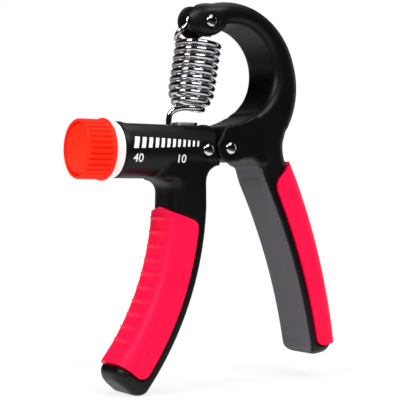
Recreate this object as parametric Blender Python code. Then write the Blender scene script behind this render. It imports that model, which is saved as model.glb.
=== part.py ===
"""Adjustable hand gripper, as an assembly of separate pieces.

A grip moulding (barrel with a curved finger handle) carries a C-shaped spring arm on a
pivot rivet. An extension spring runs from the arm's forked tip to a nut that a lead screw
moves along the barrel when the knob is turned.

Frame: X runs along the barrel, from the knob to the pivot. Y is depth. Z is up.
The origin is the middle of the whole gripper's box. All outlines are written around the
pivot rivet, and empties put them in place.
"""

import math

import bmesh
import bpy
from mathutils import Vector

MM = 0.001
TURN = 2 * math.pi

# Clearances
GAP = 0.3 * MM
SLIDE_GAP = 0.35 * MM
TURN_GAP = 0.5 * MM

# Barrel of the grip moulding
BARREL_RADIUS = 10.5 * MM
BARREL_AXIS_DROP = 1.2 * MM
BARREL_END = -3.4 * MM
BARREL_LENGTH = 41.2 * MM
BARREL_MOUTH = BARREL_END - BARREL_LENGTH
BARREL_END_ROUND = 1.6 * MM
BARREL_RIM_ROUND = 0.6 * MM
BARREL_WALL = 2.2 * MM
BORE_RADIUS = BARREL_RADIUS - BARREL_WALL
BORE_END = -14.0 * MM
SLOT_WIDTH = 6.8 * MM
SLOT_MARGIN = 2.0 * MM
SLOT_RIGHT = -6.9 * MM
UNDERCUT_X = -3.6 * MM
UNDERCUT_Z = -12.5 * MM
UNDERCUT_RADIUS = 5.9 * MM
UNDERCUT_DROP = 0.5 * MM
WEB_INSET = 0.1 * MM
CUT_THROUGH = BARREL_RADIUS + 3.5 * MM

# Finger handle of the grip moulding
LEFT_TOP_X = -16.65 * MM
LEFT_TOP_Z = -22.0 * MM
LEFT_LEAN = math.radians(2.75)
LEFT_BEND_RADIUS = 108.1 * MM
LEFT_START = -18.0 * MM
LEFT_LENGTH = 73.0 * MM
LEFT_WIDTH = 14.05 * MM
LEFT_FLARE = 5.0 * MM
LEFT_FLARE_END = -5.5 * MM

# Palm handle of the spring arm
RIGHT_TOP_X = 27.7 * MM
RIGHT_TOP_Z = -16.5 * MM
RIGHT_LEAN = math.radians(24.7)
RIGHT_BEND_RADIUS = -232.9 * MM
RIGHT_START = -8.0 * MM
RIGHT_LENGTH = 68.0 * MM
RIGHT_WIDTH_TOP = 14.75 * MM
RIGHT_WIDTH_END = 12.8 * MM

# Both handles
HANDLE_HALF_DEPTH = 9.7 * MM
HANDLE_INNER_ROUND = 1.0 * MM
HANDLE_OUTER_ROUND = 5.6 * MM
HANDLE_END_ROUND = 4.2 * MM
HANDLE_WALL = 1.7 * MM

# Soft grips on the outer side of both handles
GRIP_PROUD = 1.2 * MM
GRIP_THICK = 2.4 * MM
GRIP_FACE_PROUD = 0.5 * MM
GRIP_FACE_THICK = 1.7 * MM
GRIP_MARGIN = 3.6 * MM
GRIP_CORNER = 3.4 * MM
LEFT_GRIP_TOP_OUTER = 0.6 * MM
LEFT_GRIP_TOP_INNER = 4.9 * MM
LEFT_GRIP_BOTTOM = 67.5 * MM
RIGHT_GRIP_TOP_OUTER = -9.2 * MM
RIGHT_GRIP_TOP_INNER = -5.2 * MM
RIGHT_GRIP_BOTTOM = 64.5 * MM
FINGER_RIBS = 10
FINGER_RIB_PITCH = 5.8 * MM
FINGER_RIB_FIRST = 5.0 * MM
FINGER_RIB_HEIGHT = 0.5 * MM

# Inner covers that close the hollow handles
COVER_THICK = 1.7 * MM
COVER_RIM = 0.2 * MM
COVER_HALF_WIDTH = HANDLE_HALF_DEPTH - HANDLE_INNER_ROUND - COVER_RIM
COVER_ARCH = 5.5 * MM
COVER_LEDGE = 1.9 * MM
LEFT_COVER_TOP = 2.0 * MM
LEFT_COVER_BOTTOM = 65.0 * MM
RIGHT_COVER_TOP = -10.0 * MM
RIGHT_COVER_BOTTOM = 61.0 * MM

# Ring of the spring arm
RING_X = 2.2 * MM
RING_Z = 24.4 * MM
RING_RADIUS = 31.7 * MM
WINDOW_X = 4.5 * MM
WINDOW_Z = 30.0 * MM
WINDOW_RADIUS = 17.8 * MM
FLOOR_X = -4.1 * MM
FLOOR_Z = 38.6 * MM
FLOOR_RADIUS = 30.0 * MM
RING_HALF_DEPTH = 11.0 * MM
RING_OUTER_ROUND = 5.0 * MM
RING_INNER_ROUND = 3.6 * MM
RING_FROM = 114.0
RING_TO = -40.0
RING_STATIONS = 17

# Neck between ring and palm handle: inner point, outer point and half depth in mm
NECK = (
    ((15.2, 15.6), (28.6, 6.8), 11.0),
    ((12.2, 13.3), (27.8, 4.2), 11.0),
    ((11.5, 6.5), (27.3, 2.0), 10.9),
    ((12.8, -0.5), (27.7, -1.2), 10.6),
    ((14.6, -6.0), (28.9, -4.2), 10.1),
)

# Lug of the spring arm: corner above the pivot, and underside arch in mm
LUG_RADIUS = 5.5 * MM
LUG_HALF_DEPTH = 10.8 * MM
LUG_EDGE = 1.0 * MM
LUG_CORNER_X = 0.2 * MM
LUG_CORNER_Z = 5.8 * MM
LUG_CORNER_RADIUS = 3.0 * MM
LUG_ARCH = ((2.4, -5.2), (4.6, -4.8), (6.8, -4.0), (9.0, -3.7), (11.0, -4.0), (12.7, -5.1))
LUG_ARCH_END = ((14.9, -6.6), (18.5, -5.0), (18.5, 2.0), (17.0, 9.5))
LUG_FLOOR_FROM = -58.0

# Pivot between grip moulding and spring arm
TONGUE_RADIUS = 5.2 * MM
TONGUE_HALF_THICK = 5.0 * MM
BLOCK_LEFT = -14.3 * MM
BLOCK_TOP = 4.4 * MM
BLOCK_SLOPE_FROM = 58.0
BUSH_RADIUS = 2.9 * MM
RIVET_RADIUS = 1.7 * MM
RIVET_HEAD_RADIUS = 2.35 * MM
RIVET_HEAD_HEIGHT = 1.3 * MM
BODY_RIVET_X = -9.6 * MM
BODY_RIVET_Z = -0.8 * MM
BODY_RIVET_SEAT = BARREL_RADIUS - 0.6 * MM

# Fork at the tip of the ring, with the spring's pin
PIN_X = -7.6 * MM
PIN_Z = 48.0 * MM
TIP_Z = 48.9 * MM
TIP_REACH = 7.6 * MM
TIP_HALF_HEIGHT = 6.35 * MM
TIP_TAPER_START = -0.5 * MM
TIP_TAPER_LENGTH = 15.0 * MM
FORK_WIDTH = 6.6 * MM
FORK_END_X = -1.4 * MM
PIN_SEAT = 9.0 * MM
ROLLER_RADIUS = 3.2 * MM

# Knob, cap and collar
COLLAR_LENGTH = 3.7 * MM
KNOB_LENGTH = 11.0 * MM
KNOB_RIGHT = BARREL_MOUTH - COLLAR_LENGTH - 2 * GAP
KNOB_LEFT = KNOB_RIGHT - KNOB_LENGTH
KNOB_RADIUS = BARREL_RADIUS + 0.5 * MM
KNOB_FLANGE_RADIUS = KNOB_RADIUS + 0.5 * MM
KNOB_FLANGE_WIDTH = 1.5 * MM
KNOB_RIM_BAND = 0.8 * MM
KNOB_EDGE_ROUND = 0.7 * MM
KNOB_RIBS = 32
KNOB_RIB_DEPTH = 0.5 * MM
KNOB_WALL = 1.6 * MM
KNOB_FLOOR = 2.6 * MM
KNOB_HUB_RADIUS = 5.2 * MM
CAP_RADIUS = KNOB_RADIUS - 1.3 * MM
CAP_THICK = 1.1 * MM
CAP_DEPTH = 0.2 * MM
COLLAR_RADIUS = BARREL_RADIUS - 0.2 * MM
COLLAR_SPIGOT = 2.4 * MM

# Lead screw with its washer, clip and clamping screw
SCREW_RADIUS = 2.5 * MM
SCREW_TIP_RADIUS = 1.9 * MM
SCREW_TIP_LENGTH = 1.3 * MM
CLIP_GROOVE_RADIUS = 2.0 * MM
CLIP_RADIUS = 4.2 * MM
CLIP_THICK = 0.6 * MM
CLIP_MOUTH = 2.6 * MM
WASHER_THICK = 0.6 * MM
WASHER_RADIUS = 4.9 * MM
KNOB_SCREW_RADIUS = 1.2 * MM
KNOB_SCREW_HEAD = 2.8 * MM
KNOB_SCREW_HEAD_WIDTH = 1.7 * MM
KNOB_SCREW_REACH = 5.0 * MM
KNOB_WEB = 0.9 * MM

# Nut and shackle that carry the spring's lower hook, measured above the barrel's axis
SLIDER_X = -14.8 * MM
SLIDER_TRAVEL = 18.0 * MM
NUT_LENGTH = 8.0 * MM
NUT_OFFSET = 4.1 * MM
NUT_TOP = 5.6 * MM
SHACKLE_LENGTH = 6.7 * MM
SHACKLE_TOP = 11.0 * MM
SHACKLE_THICK = 2.0 * MM
SHACKLE_LEG = 1.3 * MM
SHACKLE_ROUND = 0.9 * MM
TENON_DEPTH = 2.0 * MM
TENON_LENGTH = 2.4 * MM

# Spring
WIRE_RADIUS = 1.1 * MM
COIL_RADIUS = 7.95 * MM
COIL_END_RADIUS = 5.0 * MM
COIL_TAPER_TURNS = 2.5
COIL_TURNS = 9.6
COIL_POINTS = 10
COIL_BOTTOM = (-11.9 * MM, 15.2 * MM)
COIL_TOP = (-7.3 * MM, 41.3 * MM)
HOOK_LEG_X = -20.9 * MM
HOOK_LEG_TOP = 10.5 * MM
HOOK_END_X = -9.3 * MM
HOOK_END_Z = 9.9 * MM
HOOK_BEND = 2.2 * MM
HOOK_LEAD = ((-20.0, -0.4, 13.4), (-17.2, -2.4, 15.0))
EYE_CLIMB = (
    (-14.7, 4.0, 42.6),
    (-16.0, 1.5, 43.5),
    (-15.3, 0.2, 45.0),
    (-13.7, 0.0, 46.4),
    (-12.6, 0.0, 47.9),
)
EYE_START = 165.0
EYE_END_Z = 43.2 * MM


def shade(name, colour, roughness, metallic=0.0):
    """A Principled material."""
    material = bpy.data.materials.new(name)
    material.use_nodes = True
    shader = material.node_tree.nodes["Principled BSDF"]
    shader.inputs["Base Color"].default_value = (*colour, 1.0)
    shader.inputs["Roughness"].default_value = roughness
    shader.inputs["Metallic"].default_value = metallic
    return material


def empty(name, x, z, parent=None):
    """A frame that pieces are parented to."""
    frame = bpy.data.objects.new(name, None)
    frame.location = (x, 0.0, z)
    frame.parent = parent
    bpy.context.collection.objects.link(frame)
    return frame


def piece(name, bm, frame, material=None):
    """One named object from a bmesh, written in its frame's coordinates."""
    bmesh.ops.remove_doubles(bm, verts=bm.verts, dist=0.002 * MM)
    bmesh.ops.recalc_face_normals(bm, faces=bm.faces)
    mesh = bpy.data.meshes.new(name)
    bm.to_mesh(mesh)
    bm.free()
    obj = bpy.data.objects.new(name, mesh)
    obj.parent = frame
    bpy.context.collection.objects.link(obj)
    if material:
        mesh.materials.append(material)
        mesh.shade_smooth()
        mesh.set_sharp_from_angle(angle=math.radians(35))
    return obj


def cutter(name, bm, frame):
    """A solid that only cuts or joins others."""
    obj = piece(name, bm, frame)
    obj.hide_render = True
    obj.display_type = "WIRE"
    return obj


def boolean(target, other, operation):
    """Adds a live Boolean to the target."""
    modifier = target.modifiers.new(f"{operation.lower()}_{other.name}", "BOOLEAN")
    modifier.operation = operation
    modifier.object = other
    modifier.solver = "EXACT"


def cut(target, *others):
    """Takes the other solids away from the target."""
    for other in others:
        boolean(target, other, "DIFFERENCE")


def loft(rings):
    """A closed solid through rings of points that all have the same count."""
    bm = bmesh.new()
    rows = [[bm.verts.new(point) for point in ring] for ring in rings]
    count = len(rows[0])
    for row, following in zip(rows, rows[1:]):
        for i in range(count):
            j = (i + 1) % count
            bm.faces.new((row[i], row[j], following[j], following[i]))
    bm.faces.new(list(reversed(rows[0])))
    bm.faces.new(rows[-1])
    return bm


def shell(outer_rows, inner_rows):
    """A closed shell between an outer and an inner grid of points."""
    bm = bmesh.new()
    outer = [[bm.verts.new(point) for point in row] for row in outer_rows]
    inner = [[bm.verts.new(point) for point in row] for row in inner_rows]
    columns = range(len(outer[0]) - 1)
    for grid in (outer, inner):
        for row, following in zip(grid, grid[1:]):
            for i in columns:
                bm.faces.new((row[i], row[i + 1], following[i + 1], following[i]))
    for end in (0, -1):
        for i in columns:
            bm.faces.new((outer[end][i], outer[end][i + 1], inner[end][i + 1], inner[end][i]))
        for k in range(len(outer) - 1):
            edge = (outer[k][end], outer[k + 1][end], inner[k + 1][end], inner[k][end])
            bm.faces.new(edge)
    return bm


def plate(outline, half_depth, centre_y=0.0):
    """An outline in X and Z, extruded in Y to both sides of its middle."""
    rings = []
    for y in (centre_y - half_depth, centre_y + half_depth):
        rings.append([Vector((x, y, z)) for x, z in outline])
    return loft(rings)


def drawn_in(outline, distance):
    """The outline, with every point moved inward along its normal."""
    moved = []
    count = len(outline)
    for i in range(count):
        before = Vector(outline[i - 1])
        after = Vector(outline[(i + 1) % count])
        tangent = (after - before).normalized()
        moved.append((outline[i][0] - tangent.y * distance, outline[i][1] + tangent.x * distance))
    return moved


def edged_plate(outline, half_depth, edge):
    """A plate with rounded edges. The outline runs counterclockwise in X and Z."""
    levels = []
    for angle in (0, 30, 60, 90):
        y = half_depth - edge + edge * math.sin(math.radians(angle))
        levels.append((y, edge * (1 - math.cos(math.radians(angle)))))
    sides = [(-y, inset) for y, inset in reversed(levels)] + levels
    rings = []
    for y, inset in sides:
        rings.append([Vector((x, y, z)) for x, z in drawn_in(outline, inset)])
    return loft(rings)


def box(x_low, x_high, half_depth, z_low, z_high, centre_y=0.0):
    """A block, symmetric about its middle in Y."""
    outline = [(x_low, z_low), (x_high, z_low), (x_high, z_high), (x_low, z_high)]
    return plate(outline, half_depth, centre_y)


def turned(profile, axis, steps, centre=(0.0, 0.0)):
    """Turns a profile of (place along the axis, radius) round the X or the Y axis.

    The centre is the axis's place: (y, z) for X, and (x, z) for Y. A profile that stays
    off the axis at both ends closes into a tube."""
    bm = bmesh.new()
    rows = []
    for place, radius in profile:
        row = []
        for step in range(steps):
            angle = TURN * step / steps
            a = centre[0] + radius * math.sin(angle)
            z = centre[1] + radius * math.cos(angle)
            row.append(bm.verts.new((place, a, z) if axis == "X" else (a, place, z)))
        rows.append(row)
    pairs = list(zip(rows, rows[1:]))
    if profile[0][1] > 0 and profile[-1][1] > 0:
        pairs.append((rows[-1], rows[0]))
    for row, following in pairs:
        for i in range(steps):
            j = (i + 1) % steps
            bm.faces.new((row[i], row[j], following[j], following[i]))
    bmesh.ops.remove_doubles(bm, verts=bm.verts, dist=0.002 * MM)
    return bm


def rod(radius, y_low, y_high, x, z, steps=24):
    """A round bar along Y."""
    profile = [(y_low, 0.0), (y_low, radius), (y_high, radius), (y_high, 0.0)]
    return turned(profile, "Y", steps, (x, z))


def tube(inner, outer, low, high, axis, steps, centre=(0.0, 0.0)):
    """A round tube along an axis."""
    profile = [(low, inner), (low, outer), (high, outer), (high, inner)]
    return turned(profile, axis, steps, centre)


def rivet(seat, x, z, steps=16):
    """A rivet along Y with a domed head outside each seat."""
    side = [(seat + GAP, RIVET_RADIUS), (seat + GAP, RIVET_HEAD_RADIUS)]
    for angle in (15, 38, 62):
        height = RIVET_HEAD_HEIGHT * math.sin(math.radians(angle))
        side.append((seat + GAP + height, RIVET_HEAD_RADIUS * math.cos(math.radians(angle))))
    side.append((seat + GAP + RIVET_HEAD_HEIGHT, 0.0))
    profile = [(-place, radius) for place, radius in reversed(side)] + side
    return turned(profile, "Y", steps, (x, z))


def round_section(middle, outward, inner, outer, half_depth, rounds, steps=4):
    """A rounded rectangle across a handle or the ring.

    middle and outward are (x, z) pairs. inner and outer are the distances from the middle
    to the inner and the outer side, and rounds are those two sides' corner radii."""
    inner_round, outer_round = rounds
    room = min(half_depth, (inner + outer) / 2) * 0.96
    inner_round = min(inner_round, room)
    outer_round = min(outer_round, room)
    corners = [
        (outer - outer_round, -(half_depth - outer_round), outer_round, -90),
        (outer - outer_round, half_depth - outer_round, outer_round, 0),
        (-inner + inner_round, half_depth - inner_round, inner_round, 90),
        (-inner + inner_round, -(half_depth - inner_round), inner_round, 180),
    ]
    ring = []
    for across, depth, radius, start in corners:
        for step in range(steps + 1):
            angle = math.radians(start + 90 * step / steps)
            a = across + radius * math.cos(angle)
            y = depth + radius * math.sin(angle)
            ring.append(Vector((middle[0] + outward[0] * a, y, middle[1] + outward[1] * a)))
    return ring


class Handle:
    """A handle along an arc that hangs from its top point, down and outward."""

    def __init__(self, side, top, lean, bend, length, widths):
        self.side = side
        self.top = top
        self.lean = lean
        self.bend = bend
        self.length = length
        self.widths = widths

    def centre(self, s):
        now = self.lean + self.bend * s
        x = self.top[0] + self.side * (math.cos(self.lean) - math.cos(now)) / self.bend
        z = self.top[1] - (math.sin(now) - math.sin(self.lean)) / self.bend
        return x, z

    def outward(self, s):
        now = self.lean + self.bend * s
        return self.side * math.cos(now), math.sin(now)

    def half_width(self, s):
        share = min(max(s / self.length, 0.0), 1.0)
        return (self.widths[0] + (self.widths[1] - self.widths[0]) * share) / 2

    def place(self, s, a, y=0.0):
        """The point at s along, a outward from the centre line and y in depth."""
        x, z = self.centre(s)
        out = self.outward(s)
        return Vector((x + out[0] * a, y, z + out[1] * a))

    def section(self, s, inner, outer, half_depth, rounds):
        return round_section(self.centre(s), self.outward(s), inner, outer, half_depth, rounds)

    def lowest(self):
        """Height of the tip's lowest point."""
        s = self.length - HANDLE_END_ROUND
        point = self.place(s, HANDLE_END_ROUND - self.half_width(s))
        return point.z - HANDLE_END_ROUND


LEFT = Handle(
    -1,
    (LEFT_TOP_X, LEFT_TOP_Z),
    LEFT_LEAN,
    1 / LEFT_BEND_RADIUS,
    LEFT_LENGTH,
    (LEFT_WIDTH, LEFT_WIDTH),
)
RIGHT = Handle(
    1,
    (RIGHT_TOP_X, RIGHT_TOP_Z),
    RIGHT_LEAN,
    1 / RIGHT_BEND_RADIUS,
    RIGHT_LENGTH,
    (RIGHT_WIDTH_TOP, RIGHT_WIDTH_END),
)


def arc(x, z, radius, start, end, steps):
    """Points along an arc in X and Z, with angles in degrees."""
    points = []
    for step in range(steps + 1):
        angle = math.radians(start + (end - start) * step / steps)
        points.append((x + radius * math.cos(angle), z + radius * math.sin(angle)))
    return points


def spread(start, end, count):
    """Evenly spaced values, both ends included."""
    return [start + (end - start) * i / (count - 1) for i in range(count)]


def handle_rings(handle, start, stations, flare):
    """Sections down a handle, with a flare at its top and a rounded end."""
    places = [(start, 0.0)]
    if flare(start):
        places += [(LEFT_FLARE_END - LEFT_FLARE * k, 0.0) for k in (1.0, 0.97, 0.87, 0.7, 0.4)]
    places += [(s, 0.0) for s in spread(0.0, handle.length - HANDLE_END_ROUND, stations)]
    for angle in (25, 50, 72):
        reach = HANDLE_END_ROUND * math.sin(math.radians(angle))
        inset = HANDLE_END_ROUND * (1 - math.cos(math.radians(angle)))
        places.append((handle.length - HANDLE_END_ROUND + reach, inset))
    rings = []
    for s, inset in places:
        half = handle.half_width(s) - inset
        rounds = (HANDLE_INNER_ROUND, HANDLE_OUTER_ROUND)
        depth = HANDLE_HALF_DEPTH - inset
        rings.append(handle.section(s, half, half + flare(s), depth, rounds))
    return rings


def grip_path(edge, depth, side, corner):
    """Half of a soft grip's section, round the outer side: (across, depth) pairs."""
    path = [(edge, -depth)]
    for turn in (-1, 1):
        for step in range(4):
            angle = math.radians(-45 + 45 * turn + 30 * step)
            a = side - corner + corner * math.cos(angle)
            path.append((a, turn * (depth - corner) + corner * math.sin(angle)))
        if turn < 0:
            path.append((side, 0.0))
    path.append((edge, depth))
    return path


def slants(path, half, wrapped):
    """How far down the slant of a grip's top edge each point of a section lies, 0 to 1.

    The slant runs across the faces alone, or wrapped from the middle of the outer side on."""
    if not wrapped:
        return [min(max((half - a) / (2 * half - GRIP_MARGIN), 0.0), 1.0) for a, y in path]
    ways = [0.0]
    for before, after in zip(path, path[1:]):
        ways.append(ways[-1] + math.dist(before, after))
    return [abs(2 * way / ways[-1] - 1) for way in ways]


def grip_shares(length, stations):
    """Shares of a soft grip's length, close together at its rounded corners."""
    ends = [(1 - math.cos(math.radians(a))) * GRIP_CORNER / length for a in (0, 22, 45, 67)]
    corner = GRIP_CORNER / length
    middle = spread(corner, 1.0 - corner, stations)
    return ends + middle + [1.0 - end for end in reversed(ends)]


def grip_rows(handle, tops, bottom, stations, gap, proud, rib, wrapped):
    """Outer and inner grid of a soft grip, or of the recess that takes it.

    tops are the places of the slanted top edge, on the outer side and at the inner edge."""
    outer_rows = []
    inner_rows = []
    top_outer, top_inner = tops
    for share in grip_shares(bottom - top_inner, stations):
        half = handle.half_width(top_outer + share * (bottom - top_outer))
        room = min(share, 1.0 - share) * (bottom - top_inner)
        edge = GRIP_MARGIN - half - gap
        if room < GRIP_CORNER:
            edge += GRIP_CORNER - math.sqrt(GRIP_CORNER**2 - (GRIP_CORNER - room) ** 2)
        depth = HANDLE_HALF_DEPTH + GRIP_FACE_PROUD
        side = half + GRIP_PROUD
        outside = grip_path(edge, depth + proud, side + proud, HANDLE_OUTER_ROUND)
        inside = grip_path(
            edge,
            depth - GRIP_FACE_THICK - gap,
            side - GRIP_THICK - gap,
            HANDLE_OUTER_ROUND - GRIP_FACE_THICK,
        )
        for rows, path, swell in ((outer_rows, outside, rib), (inner_rows, inside, None)):
            row = []
            for (a, y), slant in zip(path, slants(path, half, wrapped)):
                start = top_outer + slant * (top_inner - top_outer) - gap
                s = start + share * (bottom + gap - start)
                if swell and a > 0:
                    a += swell(s) * min(a / half, 1.0) ** 3
                row.append(handle.place(s, a, y))
            rows.append(row)
    return outer_rows, inner_rows


def finger_rib(s):
    """Height of the finger ribs at a place along the grip."""
    along = (s - FINGER_RIB_FIRST) / FINGER_RIB_PITCH
    if along < -0.5 or along > FINGER_RIBS - 0.5:
        return 0.0
    return FINGER_RIB_HEIGHT * math.cos(math.pi * (along - round(along))) ** 2


def cover_bm(handle, top, bottom, gap):
    """The thin lid in a handle's inner face, or with a gap the recess that takes it."""
    top -= gap
    bottom += gap
    ends = [COVER_ARCH * (1 - math.cos(math.radians(angle))) for angle in (25, 50, 75)]
    stations = [top + end for end in ends]
    stations += spread(top + COVER_ARCH, bottom - COVER_ARCH, 9)
    stations += [bottom - end for end in reversed(ends)]
    rings = []
    for s in stations:
        room = min(s - top, bottom - s, COVER_ARCH)
        share = math.sqrt(1 - (1 - room / COVER_ARCH) ** 2)
        width = (COVER_HALF_WIDTH + gap) * (0.35 + 0.65 * share)
        inner = handle.half_width(s) + (1.0 * MM if gap else 0.0)
        outer = COVER_THICK + gap - handle.half_width(s)
        points = [(-inner, -width), (outer, -width), (outer, width), (-inner, width)]
        rings.append([handle.place(s, a, y) for a, y in points])
    return loft(rings)


def hollow_bm(handle, top, bottom):
    """The hollow of a handle, behind its inner cover."""
    rings = []
    for s in spread(top + COVER_LEDGE + 2.0 * MM, bottom - COVER_LEDGE - 2.0 * MM, 9):
        half = handle.half_width(s)
        outer = half + GRIP_PROUD - GRIP_THICK - GAP - HANDLE_WALL
        width = COVER_HALF_WIDTH - COVER_LEDGE
        inner = half - 0.8 * MM
        rings.append(handle.section(s, inner, outer, width, (0.6 * MM, 2.0 * MM)))
    return loft(rings)


def left_flare(s):
    """Fillet between the finger handle and the barrel's underside."""
    room = min(max(LEFT_FLARE_END - s, 0.0), LEFT_FLARE)
    return LEFT_FLARE - math.sqrt(LEFT_FLARE**2 - room**2)


def no_flare(s):
    return 0.0


def barrel_bm(axis):
    """Outside of the barrel, with its rounded end."""
    start = BARREL_END - BARREL_END_ROUND
    profile = [(BARREL_MOUTH, 0.0), (BARREL_MOUTH, BARREL_RADIUS - BARREL_RIM_ROUND)]
    profile.append((BARREL_MOUTH + BARREL_RIM_ROUND, BARREL_RADIUS))
    profile.append((start, BARREL_RADIUS))
    for angle in (20, 40, 60, 78):
        place = start + BARREL_END_ROUND * math.sin(math.radians(angle))
        drop = BARREL_END_ROUND * (1 - math.cos(math.radians(angle)))
        profile.append((place, BARREL_RADIUS - drop))
    profile.append((BARREL_END, 0.0))
    return turned(profile, "X", 48, axis)


def build_body(frame, screw_frame, materials):
    """Grip moulding with its cover, soft grip, pivot block, rivet and collar."""
    axis = (0.0, -BARREL_AXIS_DROP)
    body = piece("body_moulding", barrel_bm(axis), frame, materials["black"])

    low = UNDERCUT_Z - UNDERCUT_DROP
    right = -BARREL_END
    outline = arc(UNDERCUT_X, UNDERCUT_Z, UNDERCUT_RADIUS, 180, 90, 8)
    outline += [(right, UNDERCUT_Z + UNDERCUT_RADIUS), (right, low)]
    outline += [(UNDERCUT_X - UNDERCUT_RADIUS, low)]
    undercut = cutter("cut_undercut", plate(outline, CUT_THROUGH), frame)
    web = [(LEFT_TOP_X, UNDERCUT_Z), (UNDERCUT_X, UNDERCUT_Z)]
    web += [(UNDERCUT_X, -BARREL_AXIS_DROP), (LEFT_TOP_X, -BARREL_AXIS_DROP)]
    web = cutter("join_web", plate(web, HANDLE_HALF_DEPTH - WEB_INSET), frame)
    handle = cutter("join_left_handle", loft(handle_rings(LEFT, LEFT_START, 13, left_flare)), frame)
    mouth = BARREL_MOUTH - 1.0 * MM
    profile = [(mouth, 0.0), (mouth, BORE_RADIUS), (BORE_END, BORE_RADIUS), (BORE_END, 0.0)]
    bore = cutter("cut_bore", turned(profile, "X", 40, axis), frame)
    slot_left = HOOK_LEG_X - WIRE_RADIUS - SLIDER_TRAVEL - SLOT_MARGIN
    slot = box(slot_left, SLOT_RIGHT, SLOT_WIDTH / 2, BLOCK_TOP - 2.0 * MM, CUT_THROUGH)
    slot = cutter("cut_slot", slot, frame)
    joint = rod(LUG_RADIUS + TURN_GAP, -CUT_THROUGH, CUT_THROUGH, 0.0, 0.0, 40)
    joint = cutter("cut_pivot", joint, frame)
    pocket = box(
        BLOCK_LEFT - GAP,
        0.0,
        TONGUE_HALF_THICK + GAP,
        -TONGUE_RADIUS - GAP,
        BLOCK_TOP + GAP,
    )
    pocket = cutter("cut_block_pocket", pocket, frame)
    pin = rod(RIVET_RADIUS + GAP, -CUT_THROUGH, CUT_THROUGH, BODY_RIVET_X, BODY_RIVET_Z, 20)
    pin = cutter("cut_rivet_hole", pin, frame)
    seats = []
    for side, name in ((-1, "front"), (1, "back")):
        middle = side * (BODY_RIVET_SEAT + 1.5 * MM)
        seat = rod(
            RIVET_HEAD_RADIUS + GAP,
            middle - 1.5 * MM,
            middle + 1.5 * MM,
            BODY_RIVET_X,
            BODY_RIVET_Z,
        )
        seats.append(cutter(f"cut_rivet_seat_{name}", seat, frame))
    recess = cutter("cut_left_cover", cover_bm(LEFT, LEFT_COVER_TOP, LEFT_COVER_BOTTOM, GAP), frame)
    hollow = cutter("cut_left_hollow", hollow_bm(LEFT, LEFT_COVER_TOP, LEFT_COVER_BOTTOM), frame)
    tops = (LEFT_GRIP_TOP_OUTER, LEFT_GRIP_TOP_INNER)
    rows = grip_rows(LEFT, tops, LEFT_GRIP_BOTTOM, 15, GAP, 1.5 * MM, None, True)
    grip_recess = cutter("cut_left_grip", shell(*rows), frame)
    boolean(body, web, "UNION")
    boolean(body, handle, "UNION")
    cut(body, undercut, joint, bore, slot, pocket, pin, *seats, recess, hollow, grip_recess)

    cover = cover_bm(LEFT, LEFT_COVER_TOP, LEFT_COVER_BOTTOM, 0.0)
    piece("body_inner_cover", cover, frame, materials["satin"])
    rows = grip_rows(LEFT, tops, LEFT_GRIP_BOTTOM, 41, 0.0, 0.0, finger_rib, True)
    piece("left_grip_cover", shell(*rows), frame, materials["red"])

    outline = arc(0.0, 0.0, TONGUE_RADIUS, -90, BLOCK_SLOPE_FROM, 12)
    outline += [(BLOCK_LEFT, BLOCK_TOP), (BLOCK_LEFT, -TONGUE_RADIUS)]
    block = piece("pivot_block", plate(outline, TONGUE_HALF_THICK), frame, materials["steel"])
    bush_hole = rod(BUSH_RADIUS + GAP, -6.0 * MM, 6.0 * MM, 0.0, 0.0, 32)
    bush_hole = cutter("cut_bush_hole", bush_hole, frame)
    bearing = SCREW_TIP_RADIUS + SLIDE_GAP
    deep = BLOCK_LEFT + SCREW_TIP_LENGTH + GAP / 2
    profile = [(BLOCK_LEFT - 1.0 * MM, 0.0), (BLOCK_LEFT - 1.0 * MM, bearing)]
    profile += [(deep, bearing), (deep, 0.0)]
    bearing_hole = cutter("cut_bearing", turned(profile, "X", 24, axis), frame)
    cut(block, bush_hole, pin, bearing_hole)

    rivet_bm = rivet(BODY_RIVET_SEAT, BODY_RIVET_X, BODY_RIVET_Z)
    piece("body_rivet", rivet_bm, frame, materials["chrome"])

    left = KNOB_RIGHT + GAP
    step = BARREL_MOUTH - GAP
    end = step + COLLAR_SPIGOT
    hole = SCREW_RADIUS + SLIDE_GAP
    spigot = BORE_RADIUS - GAP
    edge = 0.4 * MM
    profile = [(left, hole), (left, COLLAR_RADIUS - edge), (left + edge, COLLAR_RADIUS)]
    profile += [(step, COLLAR_RADIUS), (step, spigot), (end, spigot), (end, hole)]
    piece("barrel_collar", turned(profile, "X", 40), screw_frame, materials["white"])


def ring_depth(x):
    """Half depth of the ring, which narrows in plan like an ellipse towards its tip."""
    reach = min(max((TIP_TAPER_START - x) / TIP_TAPER_LENGTH, 0.0), 0.97)
    return RING_HALF_DEPTH * math.sqrt(1 - reach**2)


def ring_section(angle):
    """Section of the ring along a ray from the window's centre."""
    ray = (math.cos(math.radians(angle)), math.sin(math.radians(angle)))
    dx = WINDOW_X - RING_X
    dz = WINDOW_Z - RING_Z
    along = dx * ray[0] + dz * ray[1]
    reach = math.sqrt(along**2 - dx**2 - dz**2 + RING_RADIUS**2) - along
    half = (reach - WINDOW_RADIUS) / 2
    x = WINDOW_X + ray[0] * (WINDOW_RADIUS + half)
    z = WINDOW_Z + ray[1] * (WINDOW_RADIUS + half)
    rounds = (RING_INNER_ROUND, RING_OUTER_ROUND)
    return round_section((x, z), ray, half, half, ring_depth(x), rounds)


def arm_rings():
    """Sections from the ring's tip round to the end of the palm handle."""
    rings = [ring_section(angle) for angle in spread(RING_FROM, RING_TO, RING_STATIONS)]
    for inner, outer, depth in NECK:
        start = Vector(inner) * MM
        end = Vector(outer) * MM
        half = (end - start).length / 2
        direction = (end - start).normalized()
        rounds = (3.3 * MM, 5.3 * MM)
        middle = (start + end) / 2
        rings.append(round_section(middle, direction, half, half, depth * MM, rounds))
    return rings + handle_rings(RIGHT, RIGHT_START, 11, no_flare)


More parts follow.
